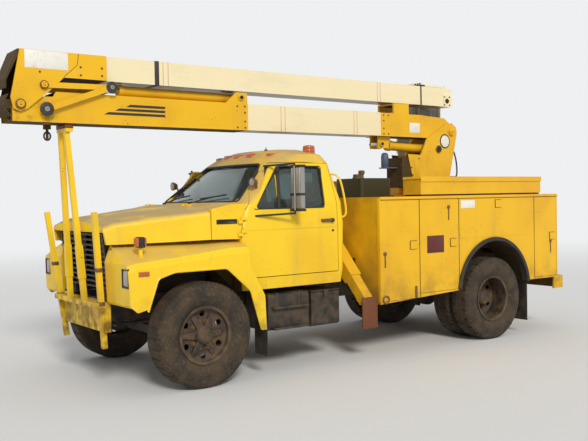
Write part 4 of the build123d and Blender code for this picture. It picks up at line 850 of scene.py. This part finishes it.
def tyre(centre, ribs, notches, lugs):
    """A tyre of ribs or lugs: turned, then notched at its shoulders and across the tread."""
    sectors = notches * 2
    piece = lathe("Y", centre, tyre_profile(ribs), sectors, ring=True, smooth=28)
    middle = Vector(centre)

    def sector(place):
        angle = math.atan2(place.z - middle.z, place.x - middle.x) % math.tau
        return int(angle / math.tau * sectors)

    def reach(place):
        return math.hypot(place.x - middle.x, place.z - middle.z)

    def off_middle(place):
        return abs(place.y - middle.y)

    def sunk(depth):
        bpy.ops.mesh.extrude_region_shrink_fatten(TRANSFORM_OT_shrink_fatten={"value": -depth})

    edit(piece)
    pick("faces", lambda at, _: sector(at) % 2 == 0 and 0.490 < reach(at) < 0.5135 and off_middle(at) > 0.099)
    sunk(0.007)
    if lugs:
        pick("faces", lambda at, _: (
            sector(at) % 4 == (0 if at.y > middle.y else 2) and reach(at) > 0.5138 and off_middle(at) > 0.03
        ))
        sunk(0.011)
    else:
        pick("faces", lambda at, _: sector(at) % 4 == 0 and reach(at) > 0.5138 and off_middle(at) < 0.1)
        bpy.ops.mesh.inset(thickness=0.0016)
        sunk(0.004)
    bpy.ops.mesh.select_all(action="SELECT")
    bpy.ops.mesh.normals_make_consistent(inside=False)
    leave()
    return smoothed(piece, 28)


FRONT_HUB = (FRONT_AXLE, FRONT_TYRE_Y, TYRE_RADIUS)
REAR_HUB = (REAR_AXLE, REAR_TYRE_Y - TWIN_PITCH / 2, TYRE_RADIUS)


def wheels():
    """Tyres with their tread, which take the place of the solid ones."""
    steer = tyre(FRONT_HUB, 5, 64, False)
    left, right = pair("front_tyre_tread", "{side}_front_wheel", TYRE, "tyre", steer)
    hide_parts("left_front_tyre")
    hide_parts("right_front_tyre")
    outer = tyre((REAR_AXLE, REAR_TYRE_Y, TYRE_RADIUS), 4, 52, True)
    inner = copied(outer, Matrix.Translation((0.0, -TWIN_PITCH, 0.0)))
    left, right = pair("rear_tyre_tread", "{side}_rear_wheels", TYRE, "tyre", outer, inner)
    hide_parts("left_rear_tyres")
    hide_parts("right_rear_tyres")


def wheel_fittings():
    """Wheel nuts, the bolts of the hub caps, and the spokes of the front hubs."""
    for stem, centre, body, nut_ring, nut_side, cap_ring, cap_side in (
        ("front", FRONT_HUB, "{side}_front_wheel", 0.135, 0.046, 0.056, 0.104),
        ("rear", REAR_HUB, "{side}_rear_wheels", 0.14, 0.028, 0.066, 0.141),
    ):
        x, y, z = centre
        nut = hex_bolt("Y", (x + nut_ring, y + nut_side, z), 0.019, 0.022)
        pair(stem + "_nuts", body, RUSTY, "wheel_black", *turned(nut, "Y", centre, 10))
        bolt = hex_bolt("Y", (x + cap_ring, y + cap_side, z), 0.008, 0.008)
        pair(stem + "_cap_bolts", body, RUSTY, "wheel_black", *turned(bolt, "Y", centre, 8))
    x, y, z = FRONT_HUB
    spoke = block((x + 0.08, x + 0.236), (y + 0.03, y + 0.08), (z - 0.038, z + 0.038), 0.0)
    edit(spoke, "VERT")
    pick("verts", lambda at, _: at.x > x + 0.2)
    bpy.ops.transform.resize(value=(1.0, 1.0, 0.62), center_override=FRONT_HUB)
    pick("verts", lambda at, _: at.x > x + 0.2 and at.y > y + 0.06)
    bpy.ops.transform.translate(value=(0.0, -0.026, 0.0))
    leave()
    spokes = turned(rounded(spoke, 0.008, 3), "Y", FRONT_HUB, 6)
    pair("hub_spokes", "{side}_front_wheel", WHEEL_BLACK, "wheel_black", *spokes)


# Lamps

def headlamps():
    """Each headlamp's dark rim, and the bowed glass inside it."""
    rim = hollowed(block((2.742, 2.807), (0.960, 1.110), (1.020, 1.205), 0.008, 3), AHEAD, 0.005, 0.016)
    pair("headlamp_rim", "chassis", GRILLE_BLACK, "grille_black", rim)
    lens = block((2.775, 2.799), (0.974, 1.096), (1.034, 1.191), 0.009, 3)
    edit(lens)
    pick("faces", lambda at, way: way.x > 0.99)
    bpy.ops.mesh.inset(thickness=0.014)
    bpy.ops.transform.translate(value=(0.004, 0.0, 0.0))
    leave()
    pair("headlamp_lens", "chassis", LAMP_GLASS, "glass", lens)


def roof_lamp(side):
    """A roof lamp's lens, narrower above, on the bowed front edge of the roof."""
    bow = (side / 0.54) ** 2
    ahead = 0.91 - 0.085 * bow
    top = 2.336 - 0.015 * bow
    dome = block((ahead - 0.07, ahead + 0.04), (side - 0.048, side + 0.048), (2.25, top), 0.014, 3)
    edit(dome)
    pick("faces", lambda at, way: way.z > 0.9)
    bpy.ops.transform.resize(value=(0.72, 0.8, 1.0), center_override=(ahead, side, top))
    leave()
    return dome


def amber_lamps():
    """The amber glass of turn lamps, side markers, roof lamps and beacon, and the beacon's foot."""
    ambers = [block(x, (0.953, 1.032), (1.393, 1.477), 0.009, 3) for x in ((2.575, 2.599), (2.651, 2.675))]
    ambers.append(block((2.614, 2.722), (1.138, 1.157), (1.128, 1.172)))
    ambers += [copied(lamp, MIRROR) for lamp in ambers]
    ambers += [roof_lamp(side) for side in (-0.54, -0.24, 0.0, 0.24, 0.54)]
    ambers.append(lathe("Z", (0.345, 0.6, 0.0), [
        (0.066, 2.3), (0.071, 2.31), (0.071, 2.332), (0.067, 2.337), (0.071, 2.342), (0.07, 2.366),
        (0.066, 2.371), (0.069, 2.376), (0.067, 2.398), (0.058, 2.41), (0.03, 2.416),
    ], 32, smooth=40))
    whole = single("amber_lamps", "chassis", AMBER, "lamp_amber", *ambers)
    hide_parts("lamps")
    foot = lathe("Z", (0.345, 0.6, 0.0), [(0.074, 2.24), (0.076, 2.292), (0.072, 2.302), (0.06, 2.306)], 32)
    single("beacon_base", "chassis", RUBBER, "rubber", foot)


# Cab

DOOR = "{side}_cab_door"
SHOULDER = 1.765


def cab_side(height):
    """Half the cab's width at a height."""
    if height < SHOULDER:
        return 0.98 - (height - 1.537) * 0.057
    return 0.967 - (height - SHOULDER) * 0.349


def cab_nose(side, height):
    """Where the bowed windshield stands along the truck, at a side and a height."""
    climb = (height - SHOULDER) / 0.45
    bow = 0.11 - 0.05 * climb
    straight = 0.827 - 0.277 * climb
    return 1.475 - 0.5 * climb + bow * (1 - min(1.0, abs(side) / straight) ** 2)


def on_cab_side(outline, inset):
    """Points on the cab's left side from an outline of (place along the truck, height)."""
    return [(x, cab_side(height) - inset, height) for x, height in outline]


def on_shield(points):
    """Points off the windshield, from (side, height on the glass, distance off it, height)."""
    return [(cab_nose(side, level) + off, side, height) for side, level, off, height in points]


def cab_glazing():
    """Rubber round the glass, the slim posts of the side windows, wipers and roof gutters."""
    window = on_cab_side([(0.418, 1.712), (1.346, 1.712), (0.925, 2.165), (0.363, 2.165)], 0.010)
    pair("window_rubber", DOOR, RUBBER, "rubber", pipe(softened(window, 0.05, 1 / 3), 0.013, True))
    foot = 1.325
    pair("window_posts", DOOR, CAB_YELLOW, "yellow_paint", *[
        pipe(on_cab_side([(foot, 1.73), ((foot + top) / 2, 1.945), (top, 2.16)], 0.018), 0.019)
        for top in (1.03, 1.005, 0.975)
    ])
    bar = on_cab_side([(1.018, 1.72), (0.98, 1.93), (0.94, 2.155)], 0.018)
    pair("vent_rubber", DOOR, RUBBER, "rubber", pipe(bar, 0.021))
    low = on_shield([(side, 1.79, -0.006, 1.79) for side in (-0.72, -0.36, 0.0, 0.36, 0.72)])
    high = on_shield([(side, 2.195, -0.006, 2.195) for side in (0.5, 0.25, 0.0, -0.25, -0.5)])
    post = [
        (1.436, 0.79, 1.795), (1.435, 0.82, 1.8), (1.39, 0.8, 1.84), (1.25, 0.735, 1.963),
        (1.09, 0.655, 2.105), (1.01, 0.595, 2.175), (1.0, 0.56, 2.195),
    ]
    right_post = [(x, -y, z) for x, y, z in reversed(post)]
    shield = pipe(low + post + high + right_post, 0.014, True)
    single("windshield_rubber", "chassis", RUBBER, "rubber", shield)
    back = [(0.178, -0.52, 1.732), (0.178, 0.52, 1.732), (0.196, 0.52, 2.125), (0.196, -0.52, 2.125)]
    rubber = pipe(softened(back, 0.06, 1 / 3), 0.013, True)
    single("rear_window_rubber", "chassis", RUBBER, "rubber", rubber)
    gutter = pipe(on_cab_side([(0.325, 2.2), (0.525, 2.222), (0.745, 2.222)], -0.002), 0.009)
    pair("roof_gutters", "chassis", CAB_YELLOW, "yellow_paint", gutter)
    wipers = []
    for pivot in (0.1, -0.62):
        tip = pivot + 0.46
        foot = cab_nose(pivot, SHOULDER) + 0.03
        wipers.append(lathe("Z", (foot, pivot, 1.76), [(0.02, 0.0), (0.02, 0.03), (0.012, 0.036)], 14))
        wipers.append(pipe(on_shield([
            (pivot, SHOULDER, 0.03, 1.787), (pivot + 0.2, 1.8, 0.035, 1.82), (tip - 0.12, 1.85, 0.02, 1.855),
        ]), 0.006))
        wipers.append(pipe(on_shield([
            (side, height, 0.012, height)
            for side, height in ((pivot + 0.06, 1.83), (pivot + 0.3, 1.853), (min(tip, 0.62), 1.87))
        ]), 0.008))
    single("wipers", "chassis", RUBBER, "rubber", *wipers)


def cab_trim():
    """Door creases, mirrors, spot lamps, door knobs, grab rails, cowl badges and the aerial."""
    crease = pipe([(1.465, 0.976, 1.5), (0.865, 0.979, 1.5), (0.265, 0.979, 1.5)], 0.006)
    pair("door_creases", DOOR, CAB_YELLOW, "yellow_paint", crease)
    sides = [1.034 + 0.022 * number for number in range(7)]
    ribs = [block((0.894, 0.909), (side - 0.009, side + 0.009), (1.712, 2.138), 0.006, 3) for side in sides]
    back = block((0.891, 0.9), (1.018, 1.182), (1.703, 2.147), 0.003)
    pair("mirror_backs", DOOR, STEEL, "bright_rod", *ribs, back)
    strap = block((0.84, 0.912), (1.012, 1.188), (1.845, 1.872))
    ends = [block((0.836, 0.914), (1.006, 1.194), (low, low + 0.024), 0.006) for low in (1.682, 2.143)]
    pair("mirror_straps", DOOR, RUBBER, "mirror_black", strap, *ends)

    centre = (1.285, 0.88, 1.99)
    bowl = lathe("X", centre, [
        (0.012, -0.042), (0.03, -0.036), (0.043, -0.013), (0.048, 0.008), (0.051, 0.014), (0.051, 0.021),
        (0.046, 0.024), (0.042, 0.018),
    ], 28, smooth=40)
    stalk = pipe([(1.255, 0.88, 1.99), (1.23, 0.88, 1.94), (1.235, 0.83, 1.9)], 0.011)
    pair("spot_lamps", "chassis", RUSTY, "bright_rod", bowl, stalk)
    glass = lathe("X", centre, [(0.044, 0.012), (0.043, 0.021), (0.03, 0.026), (0.012, 0.028)], 28)
    pair("spot_lamp_glass", "chassis", LAMP_GLASS, "glass", glass)

    knob = lathe("Y", (0.335, 0.972, 1.572), [(0.022, 0.0), (0.022, 0.038), (0.015, 0.042)], 18)
    lock = lathe("Y", (0.32, 0.972, 1.46), [(0.014, 0.0), (0.014, 0.012), (0.01, 0.014)], 16)
    pair("door_knobs", DOOR, CASTING, "bright_rod", knob, lock)
    rail = pipe([
        (0.235, 0.86, 2.08), (0.205, 0.92, 2.075), (0.165, 0.95, 2.0), (0.135, 1.0, 1.68), (0.15, 0.99, 1.6),
        (0.195, 0.95, 1.595),
    ], 0.012)
    pair("grab_rails", "chassis", CAB_YELLOW, "yellow_paint", rail)
    badge = hollowed(block((1.545, 1.785), (0.958, 0.969), (1.572, 1.62)), LEFT, 0.005, 0.003)
    pair("cowl_badges", "chassis", GRILLE_BLACK, "grille_black", badge)
    mast = lathe("Z", (0.725, 0.3, 0.0), [
        (0.022, 2.34), (0.02, 2.372), (0.008, 2.38), (0.004, 2.39), (0.004, 2.404),
    ], 12)
    single("aerial", "chassis", RUBBER, "rubber", mast)


# Service body

def latch(name, x, z):
    """A dished latch plate of a compartment door, with its paddle and lock."""
    side = BODY_SIDE
    body = "{side}_" + name + "_bin_door"
    dish = block((x - 0.056, x + 0.056), (side - 0.002, side + 0.0045), (z - 0.051, z + 0.051), 0.0015)
    pair(name + "_latch_dish", body, GRILLE_BLACK, "grille_black", hollowed(dish, LEFT, 0.008, 0.003))
    paddle = block((x - 0.04, x + 0.028), (side + 0.0005, side + 0.004), (z - 0.03, z + 0.03), 0.001)
    lock = lathe("Y", (x + 0.034, side + 0.002, z), [(0.009, -0.001), (0.009, 0.0015), (0.006, 0.002)], 14)
    pair(name + "_latch_paddle", body, STEEL, "bright_rod", paddle, lock)


def t_pull(name, x, z):
    """A round boss with the bar of a pull below it."""
    side = BODY_SIDE
    button = [(0.024, -0.002), (0.024, 0.007), (0.018, 0.01), (0.009, 0.012)]
    boss = lathe("Y", (x, side, z + 0.07), button, 20)
    stem = block((x - 0.007, x + 0.007), (side - 0.002, side + 0.009), (z - 0.085, z + 0.06), 0.003)
    pair(name + "_pull", "{side}_" + name + "_bin_door", RUSTY, "frame_black", boss, stem)


def box_fittings():
    """Latches, pulls, drip edges, arch rubber, tie rings and tail lamps."""
    side = BODY_SIDE
    for name, x, z in (
        ("front", -0.688, 1.255), ("middle", -1.352, 1.255), ("wheel", -2.17, 1.705), ("rear", -3.26, 1.255),
    ):
        latch(name, x, z)
    for name, x, z in (("middle", -1.275, 1.61), ("front", -0.245, 1.105), ("rear", -3.225, 1.115)):
        t_pull(name, x, z)
    drip = block((BODY_REAR, -0.175), (side - 0.01, side + 0.018), (1.783, 1.806), 0.006, 3)
    angle = block((-0.187, -0.171), (side - 0.05, side + 0.003), (0.63, 1.8), 0.003)
    pair("drip_edges", "chassis", YELLOW, "yellow_paint", drip, angle)

    ring = lathe("Y", (REAR_AXLE, side, ARCH_HEIGHT), [
        (0.627, -0.066), (0.627, 0.022), (0.634, 0.029), (0.668, 0.029), (0.676, 0.021), (0.676, 0.004),
        (0.655, -0.003), (0.655, -0.066),
    ], 96, ring=True)
    edit(ring)
    bpy.ops.mesh.select_all(action="SELECT")
    bpy.ops.mesh.bisect(
        plane_co=(REAR_AXLE, side, 0.685), plane_no=(0.0, 0.0, 1.0), clear_inner=True, use_fill=True
    )
    leave()
    pair("arch_rubber", "chassis", RUBBER, "rubber", ring)

    eye = pipe(circle_line(-0.245, side + 0.014, 0.66, 0.045, 0.045), 0.008, True)
    pair("tie_rings", "{side}_front_bin_door", RUSTY, "frame_black", eye)
    dome = [(0.056, 0.0), (0.056, -0.012), (0.05, -0.02), (0.03, -0.024)]
    places = [(BODY_REAR, y, z) for z in (0.93, 1.09) for y in (0.9, 1.05)]
    lamps = [lathe("X", place, dome, 26, smooth=40) for place in places]
    pair("tail_lamps", "chassis", TAIL_RED, "lamp_amber", *lamps)


# Crane

def pin_cap(name, x, side, z, radius, share, body, finish, pin_finish):
    """The end of a pin: a keeper plate with its bolts, round the pin's raised boss."""
    inner = radius * share
    ear_gap = (radius + inner) / 2
    plate = lathe("Y", (x, side, z), [
        (radius, -0.004), (radius, 0.006), (radius * 0.92, 0.009), (inner, 0.009),
    ], 28)
    ears = [
        hex_bolt("Y", (ear_x, side + 0.007, z + radius * 0.05), 0.007, 0.007)
        for ear_x in (x - ear_gap, x + ear_gap)
    ]
    pair(name, body, finish, "yellow_paint", plate, *ears)
    boss = lathe("Y", (x, side, z), [
        (inner, 0.0), (inner * 0.97, 0.016), (inner * 0.87, 0.019), (inner * 0.58, 0.019),
        (inner * 0.48, 0.014),
    ])
    bolt = hex_bolt("Y", (x, side + 0.012, z), inner * 0.36, 0.012)
    pair(name + "_boss", body, pin_finish, "bright_rod", boss, bolt)


def pins_and_bolts():
    """Pin caps of both booms, the turret's bearing bolts and rows of bolt heads."""
    for row in (
        ("boom_pivot_caps", -2.46, 0.178, 2.693, 0.05, 0.62, "turret", TURRET_YELLOW, TURRET_YELLOW),
        ("lift_base_caps", -2.199, 0.178, 2.453, 0.048, 0.5, "turret", CASTING, CASTING),
        ("lift_eye_caps", -1.227, 0.1, 2.504, 0.036, 0.6, "lower_boom", BOOM_YELLOW, CASTING),
        ("guide_pin_caps", 3.199, 0.217, 2.721, 0.068, 0.38, "lower_boom", CASTING, STEEL),
        ("fold_base_caps", 0.957, 0.163, 2.968, 0.036, 0.6, "lower_boom", BOOM_YELLOW, CASTING),
        ("elbow_pin_caps", 3.442, 0.195, 2.761, 0.048, 0.74, "upper_boom", RUSTY, BOOM_YELLOW),
        ("drive_pin_caps", 3.212, 0.195, 2.956, 0.042, 0.74, "upper_boom", RUSTY, BOOM_YELLOW),
        ("rod_eye_caps", 2.526, 0.209, 2.972, 0.06, 0.38, "guide_link", CASTING, STEEL),
        ("tip_pin_caps", -2.394, 0.153, 3.116, 0.034, 0.6, "upper_boom", CASTING, CASTING),
    ):
        pin_cap(*row)
    centre = (-2.065, 0.0, 1.965)
    bolt = hex_bolt("Z", (centre[0] + 0.322, 0.0, 1.965), 0.014, 0.014)
    single("bearing_bolts", "turret", RUSTY, "bright_rod", *turned(bolt, "Z", centre, 24))
    four = (2.63, 2.7, 2.8, 2.87)
    for name, body, side, columns in (
        ("insert_bolts_rear", "lower_boom", 0.155, ((-1.215, *four), (-1.295, 2.63, 2.87))),
        ("insert_bolts_front", "lower_boom", 0.155, ((0.905, *four), (1.005, 2.63, 2.87))),
        ("elbow_bolts", "upper_boom", 0.177, ((2.615, 3.16, 3.085), (2.837, 3.155, 3.075), (3.245, 3.08))),
        ("tip_bolts", "upper_boom", 0.154, ((-2.442, 3.061, 3.171), (-2.346, 3.061, 3.171))),
        ("cheek_bolts", "turret", 0.16, (
            (-1.695, 2.2), (-1.715, 2.1), (-1.835, 2.32), (-2.075, 2.05), (-2.275, 2.05),
        )),
    ):
        heads = [hex_bolt("Y", (x, side, z), 0.0085, 0.009) for x, *heights in columns for z in heights]
        pair(name, body, RUSTY, "bright_rod", *heads)


def stripe(number):
    """One of three black stripes, each longer than the one above, with a slanted front end."""
    front = FRONT_AXLE + 0.33 + 0.12 * number
    top = 2.815 - 0.043 * number
    tape = block((1.91, front), (0.154, 0.1566), (top - 0.026, top), 0.0)
    edit(tape, "VERT")
    pick("verts", lambda at, _: at.x > FRONT_AXLE and at.z > top - 0.01)
    bpy.ops.transform.translate(value=(-0.05, 0.0, 0.0))
    leave()
    return rounded(tape, 0.0004, 1)


def crane_fittings():
    """Stripes, the turret's round plates, bands, thin lines, seams, the shackle, rail and motor."""
    stripes = [stripe(number) for number in range(3)]
    pair("speed_stripes", "lower_boom", STRIPE_BLACK, "grille_black", *stripes)
    rim = lathe("Y", (-2.335, 0.16, 2.562), [(0.098, -0.001), (0.098, 0.002), (0.094, 0.003)], 40)
    pair("turret_plate_rims", "turret", GRILLE_BLACK, "grille_black", rim)
    disc = lathe("Y", (-2.335, 0.162, 2.562), [(0.08, -0.001), (0.08, 0.0025), (0.076, 0.0035)], 40)
    pair("turret_plates", "turret", PLATE_WHITE, "white_fibreglass", disc)

    bands = [sleeve(x, 0.141, (3.039, 3.29), 0.004) for x in ((1.963, 2.015), (-1.92, -1.895))]
    single("beam_bands", "upper_boom", CASTING, "bright_rod", *bands)
    for name, body, half_width, z, places in (
        ("beam_red_lines", "upper_boom", 0.1405, (3.0395, 3.2895), (1.856, 1.915, -1.175, -1.125)),
        ("insert_red_lines", "lower_boom", 0.1455, (2.6035, 2.9035), (0.34, 0.398, -0.771, -0.722)),
    ):
        lines = [sleeve((x - 0.005, x + 0.005), half_width, z, 0.001) for x in places]
        single(name, body, FADED_RED, "white_fibreglass", *lines)

    seam = ribbon([(3.01, 3.045), (2.873, 3.17), (2.855, 3.284)], 0.17, 0.1782, 0.006)
    pair("elbow_plate_seams", "upper_boom", CASTING, "rubber", seam)
    shackle = pipe(circle_line(3.13, 0.0, 2.478, 0.034, 0.042), 0.009, True)
    single("hook_shackle", "lower_boom", CASTING, "frame_black", shackle)
    rail = pipe([
        (-2.475, 0.12, 2.5), (-2.535, 0.12, 2.47), (-2.605, 0.12, 2.3), (-2.615, 0.12, 2.1),
        (-2.575, 0.12, 2.07), (-2.415, 0.12, 2.08),
    ], 0.011)
    pair("turret_rail", "turret", CASTING, "bright_rod", rail)
    can = lathe("Z", (-1.365, 0.0, 0.0), [
        (0.044, 2.2), (0.05, 2.208), (0.05, 2.35), (0.044, 2.362), (0.044, 2.38), (0.03, 2.388),
        (0.026, 2.395),
    ], 28, smooth=40)
    shelf = block((-1.575, -1.31), (-0.06, 0.06), (2.188, 2.203))
    single("turret_motor", "turret", MOTOR_BLUE, "frame_black", can, shelf)


def bucket_fittings():
    """Ribs on the bucket's sides, and the levers on the beam's tip."""
    ribs = [
        block((x - 0.03, x + 0.03), y, (2.45, 3.34), 0.005)
        for y in ((-0.807, -0.795), (-0.314, -0.302))
        for x in (-2.71, -2.54, -2.37)
    ]
    single("bucket_ribs", "bucket", BUCKET_CREAM, "white_fibreglass", *ribs)
    single("tip_levers", "upper_boom", RUBBER, "rubber", *[
        lathe("Z", (-2.015, y, 3.328), [
            (0.006, 0.0), (0.006, 0.012), (0.012, 0.016), (0.012, 0.024), (0.008, 0.028),
        ], 10)
        for y in (-0.07, -0.025, 0.02)
    ])


# Fenders, rear step, tanks and outriggers

def fender_side(ahead):
    """How far out the fender's side stands, at a place ahead of the front axle."""
    behind = 0.77 - ahead
    if behind < 0.05:
        return 1.11 + 0.04 * (behind + 0.016) / 0.066
    if behind < 0.47:
        return 1.15
    if behind < 1.08:
        return 1.15 - 0.015 * (behind - 0.47) / 0.61
    return 1.135 - 0.025 * (behind - 1.08) / 0.43


def body_trim():
    """Rolled lips of the front arches, and the grips of the rear step."""
    arch = [(0.608, 0.8), (0.5, 1.1), (0.33, 1.15), (-0.25, 1.15), (-0.53, 0.905), (-0.655, 0.5)]
    line = softened(arch, 0.07, 0.45, False)
    lip = pipe([(FRONT_AXLE + ahead, fender_side(ahead) - 0.004, z) for ahead, z in line], 0.011)
    pair("arch_lips", "chassis", FENDER_YELLOW, "yellow_paint", lip)
    grips = [block((-3.575, -3.395), y, (0.698, 0.706), 0.003) for y in ((-0.82, -0.42), (0.42, 0.82))]
    single("step_grips", "chassis", GRILLE_BLACK, "grille_black", *grips)


def under_fittings():
    """Tank straps, cab steps, battery lids, post clamps and the oil tank's caps."""
    straps = [block(x, (0.50, 0.937), (0.425, 0.826), 0.02) for x in ((1.02, 1.07), (0.73, 0.78))]
    pair("tank_straps", "chassis", FRAME_BLACK, "frame_black", *straps)
    steps = [block((0.665, 1.125), (0.90, 0.985), (z, z + 0.022)) for z in (0.44, 0.66)]
    pair("cab_steps", "chassis", FRAME_BLACK, "frame_black", *steps)
    lid = block((0.18, 0.58), (0.515, 0.906), (0.79, 0.806), 0.005)
    clip = block((0.355, 0.405), (0.9, 0.912), (0.72, 0.8))
    pair("battery_lids", "chassis", FRAME_BLACK, "frame_black", lid, clip)
    clamps = []
    for z in (0.84, 1.17):
        climb = (z - 0.4) / 1.32
        x, y = 2.798 + 0.131 * climb, 0.505 + 0.149 * climb
        clamps.append(block((x - 0.031, x + 0.031), (y - 0.031, y + 0.031), (z - 0.02, z + 0.02), 0.005))
        clamps.append(hex_bolt("X", (x + 0.03, y, z), 0.01, 0.01))
    pair("post_clamps", "chassis", RUSTY, "frame_black", *clamps)
    filler = lathe("Z", (-0.735, 0.17, 2.05), [
        (0.058, 0.0), (0.058, 0.02), (0.05, 0.026), (0.05, 0.05), (0.044, 0.055), (0.02, 0.056),
    ], 26)
    breather = lathe("Z", (-0.955, 0.0, 2.05), [
        (0.03, 0.0), (0.03, 0.06), (0.042, 0.066), (0.042, 0.1), (0.03, 0.112),
    ], 20)
    single("tank_caps", "chassis", RUSTY, "frame_black", filler, breather)


# Plates, pads and small boxes: name, body, finish, slot, X, Y, Z, bevel and its segments

BOX_PAIRS = (
    ("turn_lamp_base", "chassis", RUBBER, "rubber",
     (2.595, 2.655), (0.945, 1.04), (1.385, 1.485), 0.008),
    ("turn_lamp_foot", "chassis", FENDER_YELLOW, "yellow_paint",
     (2.609, 2.641), (0.975, 1.01), (1.22, 1.39), 0.004),
    ("radiator_baffles", "chassis", GRILLE_BLACK, "grille_black",
     (2.69, 2.7), (0.15, 0.64), (0.85, 1.5), 0.003),
    ("mirror_faces", DOOR, MIRROR_FACE, "bright_rod", (0.843, 0.849), (1.024, 1.176), (1.71, 2.14), 0.002),
    ("door_pulls", DOOR, RUSTY, "bright_rod", (0.313, 0.48), (0.972, 1.009), (1.556, 1.589), 0.008, 3),
    ("chest_packing", "chassis", RUBBER, "rubber",
     (-3.065, -0.885), (0.875, 1.147), (1.8155, 1.8345), 0.002),
    ("seam_hanger", "{side}_front_bin_door", RUSTY, "frame_black",
     (-0.736, -0.704), (1.198, 1.212), (0.64, 0.78), 0.004),
    ("foot_plates", "{side}_outrigger_leg", RUSTY_BROWN, "frame_black",
     (-0.138, 0.078), (1.163, 1.1825), (0.362, 0.708), 0.003),
    ("number_plates", "upper_boom", PLATE_WHITE, "white_fibreglass",
     (2.965, 3.39), (0.176, 0.1795), (3.112, 3.284), 0.0012),
    ("boom_labels", "lower_boom", PLATE_WHITE, "white_fibreglass",
     (-1.86, -1.675), (0.154, 0.158), (2.66, 2.79), 0.001),
)
BOX_SINGLES = (
    ("red_plate", "left_middle_bin_door", PLATE_RED, "yellow_paint",
     (-1.19, -0.91), (1.199, 1.204), (1.147, 1.349), 0.0015),
    ("pale_plate", "left_wheel_bin_door", PLATE_WHITE, "white_fibreglass",
     (-1.739, -1.491), (1.199, 1.203), (1.66, 1.755), 0.001),
    ("rear_blank_plate", "chassis", PLATE_WHITE, "white_fibreglass",
     (BODY_REAR - 0.034, BODY_REAR - 0.029), (-0.16, 0.16), (0.9, 1.02), 0.002),
    ("rest_pad", "chassis", RUSTY_BROWN, "frame_black",
     (2.909, 2.993), (-0.134, 0.134), (2.552, 2.5965), 0.008, 3),
    ("tip_controls", "upper_boom", GRILLE_BLACK, "grille_black",
     (-2.075, -1.955), (-0.1, 0.06), (3.286, 3.33), 0.01, 3),
)


def boxes():
    """Every piece of the two tables."""
    for make, rows in ((pair, BOX_PAIRS), (single, BOX_SINGLES)):
        for name, body, finish, slot, *measures in rows:
            make(name, body, finish, slot, block(*measures))


# Camera, lights and floor

PHOTO_WIDTH = 588
FOCAL_LENGTH = 801.99
EYE = Vector((5.8419, 7.8574, 1.8141))
SENSOR = 36.0


def look_from_the_road():
    """The camera at the photograph's place: left of the front, low, with a slight roll."""
    yaw = math.radians(36.0)
    pitch = math.radians(-1.5592)
    roll = math.radians(-1.0868)
    ahead = Vector((-math.sin(yaw) * math.cos(pitch), -math.cos(yaw) * math.cos(pitch), math.sin(pitch)))
    level = ahead.cross(Vector((0.0, 0.0, 1.0))).normalized()
    upright = level.cross(ahead)
    right = level * math.cos(roll) + upright * math.sin(roll)
    up = upright * math.cos(roll) - level * math.sin(roll)
    pose = Matrix((right, up, -ahead)).transposed().to_4x4()
    pose.translation = EYE
    lens = bpy.data.cameras.new("roadside_camera")
    lens.sensor_width = SENSOR
    lens.lens = FOCAL_LENGTH / PHOTO_WIDTH * SENSOR
    camera = bpy.data.objects.new("roadside_camera", lens)
    bpy.context.scene.collection.objects.link(camera)
    camera.matrix_world = pose
    bpy.context.scene.camera = camera
    bpy.context.scene.view_settings.view_transform = "Standard"


BACKDROP = (0.86, 0.87, 0.88, 1.0)


def floor_and_backdrop():
    """A pale floor that fades into the backdrop, under an even fill from all round."""
    bpy.ops.mesh.primitive_circle_add(vertices=96, radius=60.0, fill_type="NGON", location=(0.0, 0.0, 0.0))
    floor = started()
    floor.name = "studio_floor"
    floor.data.name = "studio_floor"
    f = Finish("pale_floor")
    distance = (f.x * f.x + f.y * f.y).root()
    matt = f.node("ShaderNodeBsdfDiffuse", {"Color": (0.74, 0.74, 0.73, 1.0)})
    glow = f.node("ShaderNodeEmission", {"Color": BACKDROP, "Strength": 1.0})
    fading = f.node("ShaderNodeMixShader", {0: distance.rising(7.0, 26.0), 1: matt, 2: glow})
    floor.data.materials.append(f.put_out(fading))

    f = Finish("studio_world", "worlds")
    seen = f.node("ShaderNodeLightPath", output="Is Camera Ray")
    for kind in ("Is Glossy Ray", "Is Transmission Ray"):
        seen = seen.larger(f.node("ShaderNodeLightPath", output=kind))
    shown = f.node("ShaderNodeBackground", {"Color": BACKDROP})
    fill = f.node("ShaderNodeBackground", {"Color": (0.95, 0.97, 1.0, 1.0), "Strength": 0.55})
    bpy.context.scene.world = f.put_out(f.node("ShaderNodeMixShader", {0: seen, 1: fill, 2: shown}), "World")


def key_light():
    """A broad warm light from the left, ahead and above."""
    key = bpy.data.lights.new("key_light", "SUN")
    key.energy = 2.1
    key.angle = math.radians(14.0)
    key.color = (1.0, 0.97, 0.92)
    lamp = bpy.data.objects.new("key_light", key)
    bpy.context.scene.collection.objects.link(lamp)
    towards = Vector((0.32, 0.86, 0.62))
    lamp.matrix_world = towards.to_track_quat("Z", "Y").to_matrix().to_4x4()


look_from_the_road()
dress_solids()
wheels()
wheel_fittings()
headlamps()
amber_lamps()
cab_glazing()
cab_trim()
box_fittings()
pins_and_bolts()
crane_fittings()
bucket_fittings()
body_trim()
under_fittings()
boxes()
floor_and_backdrop()
key_light()
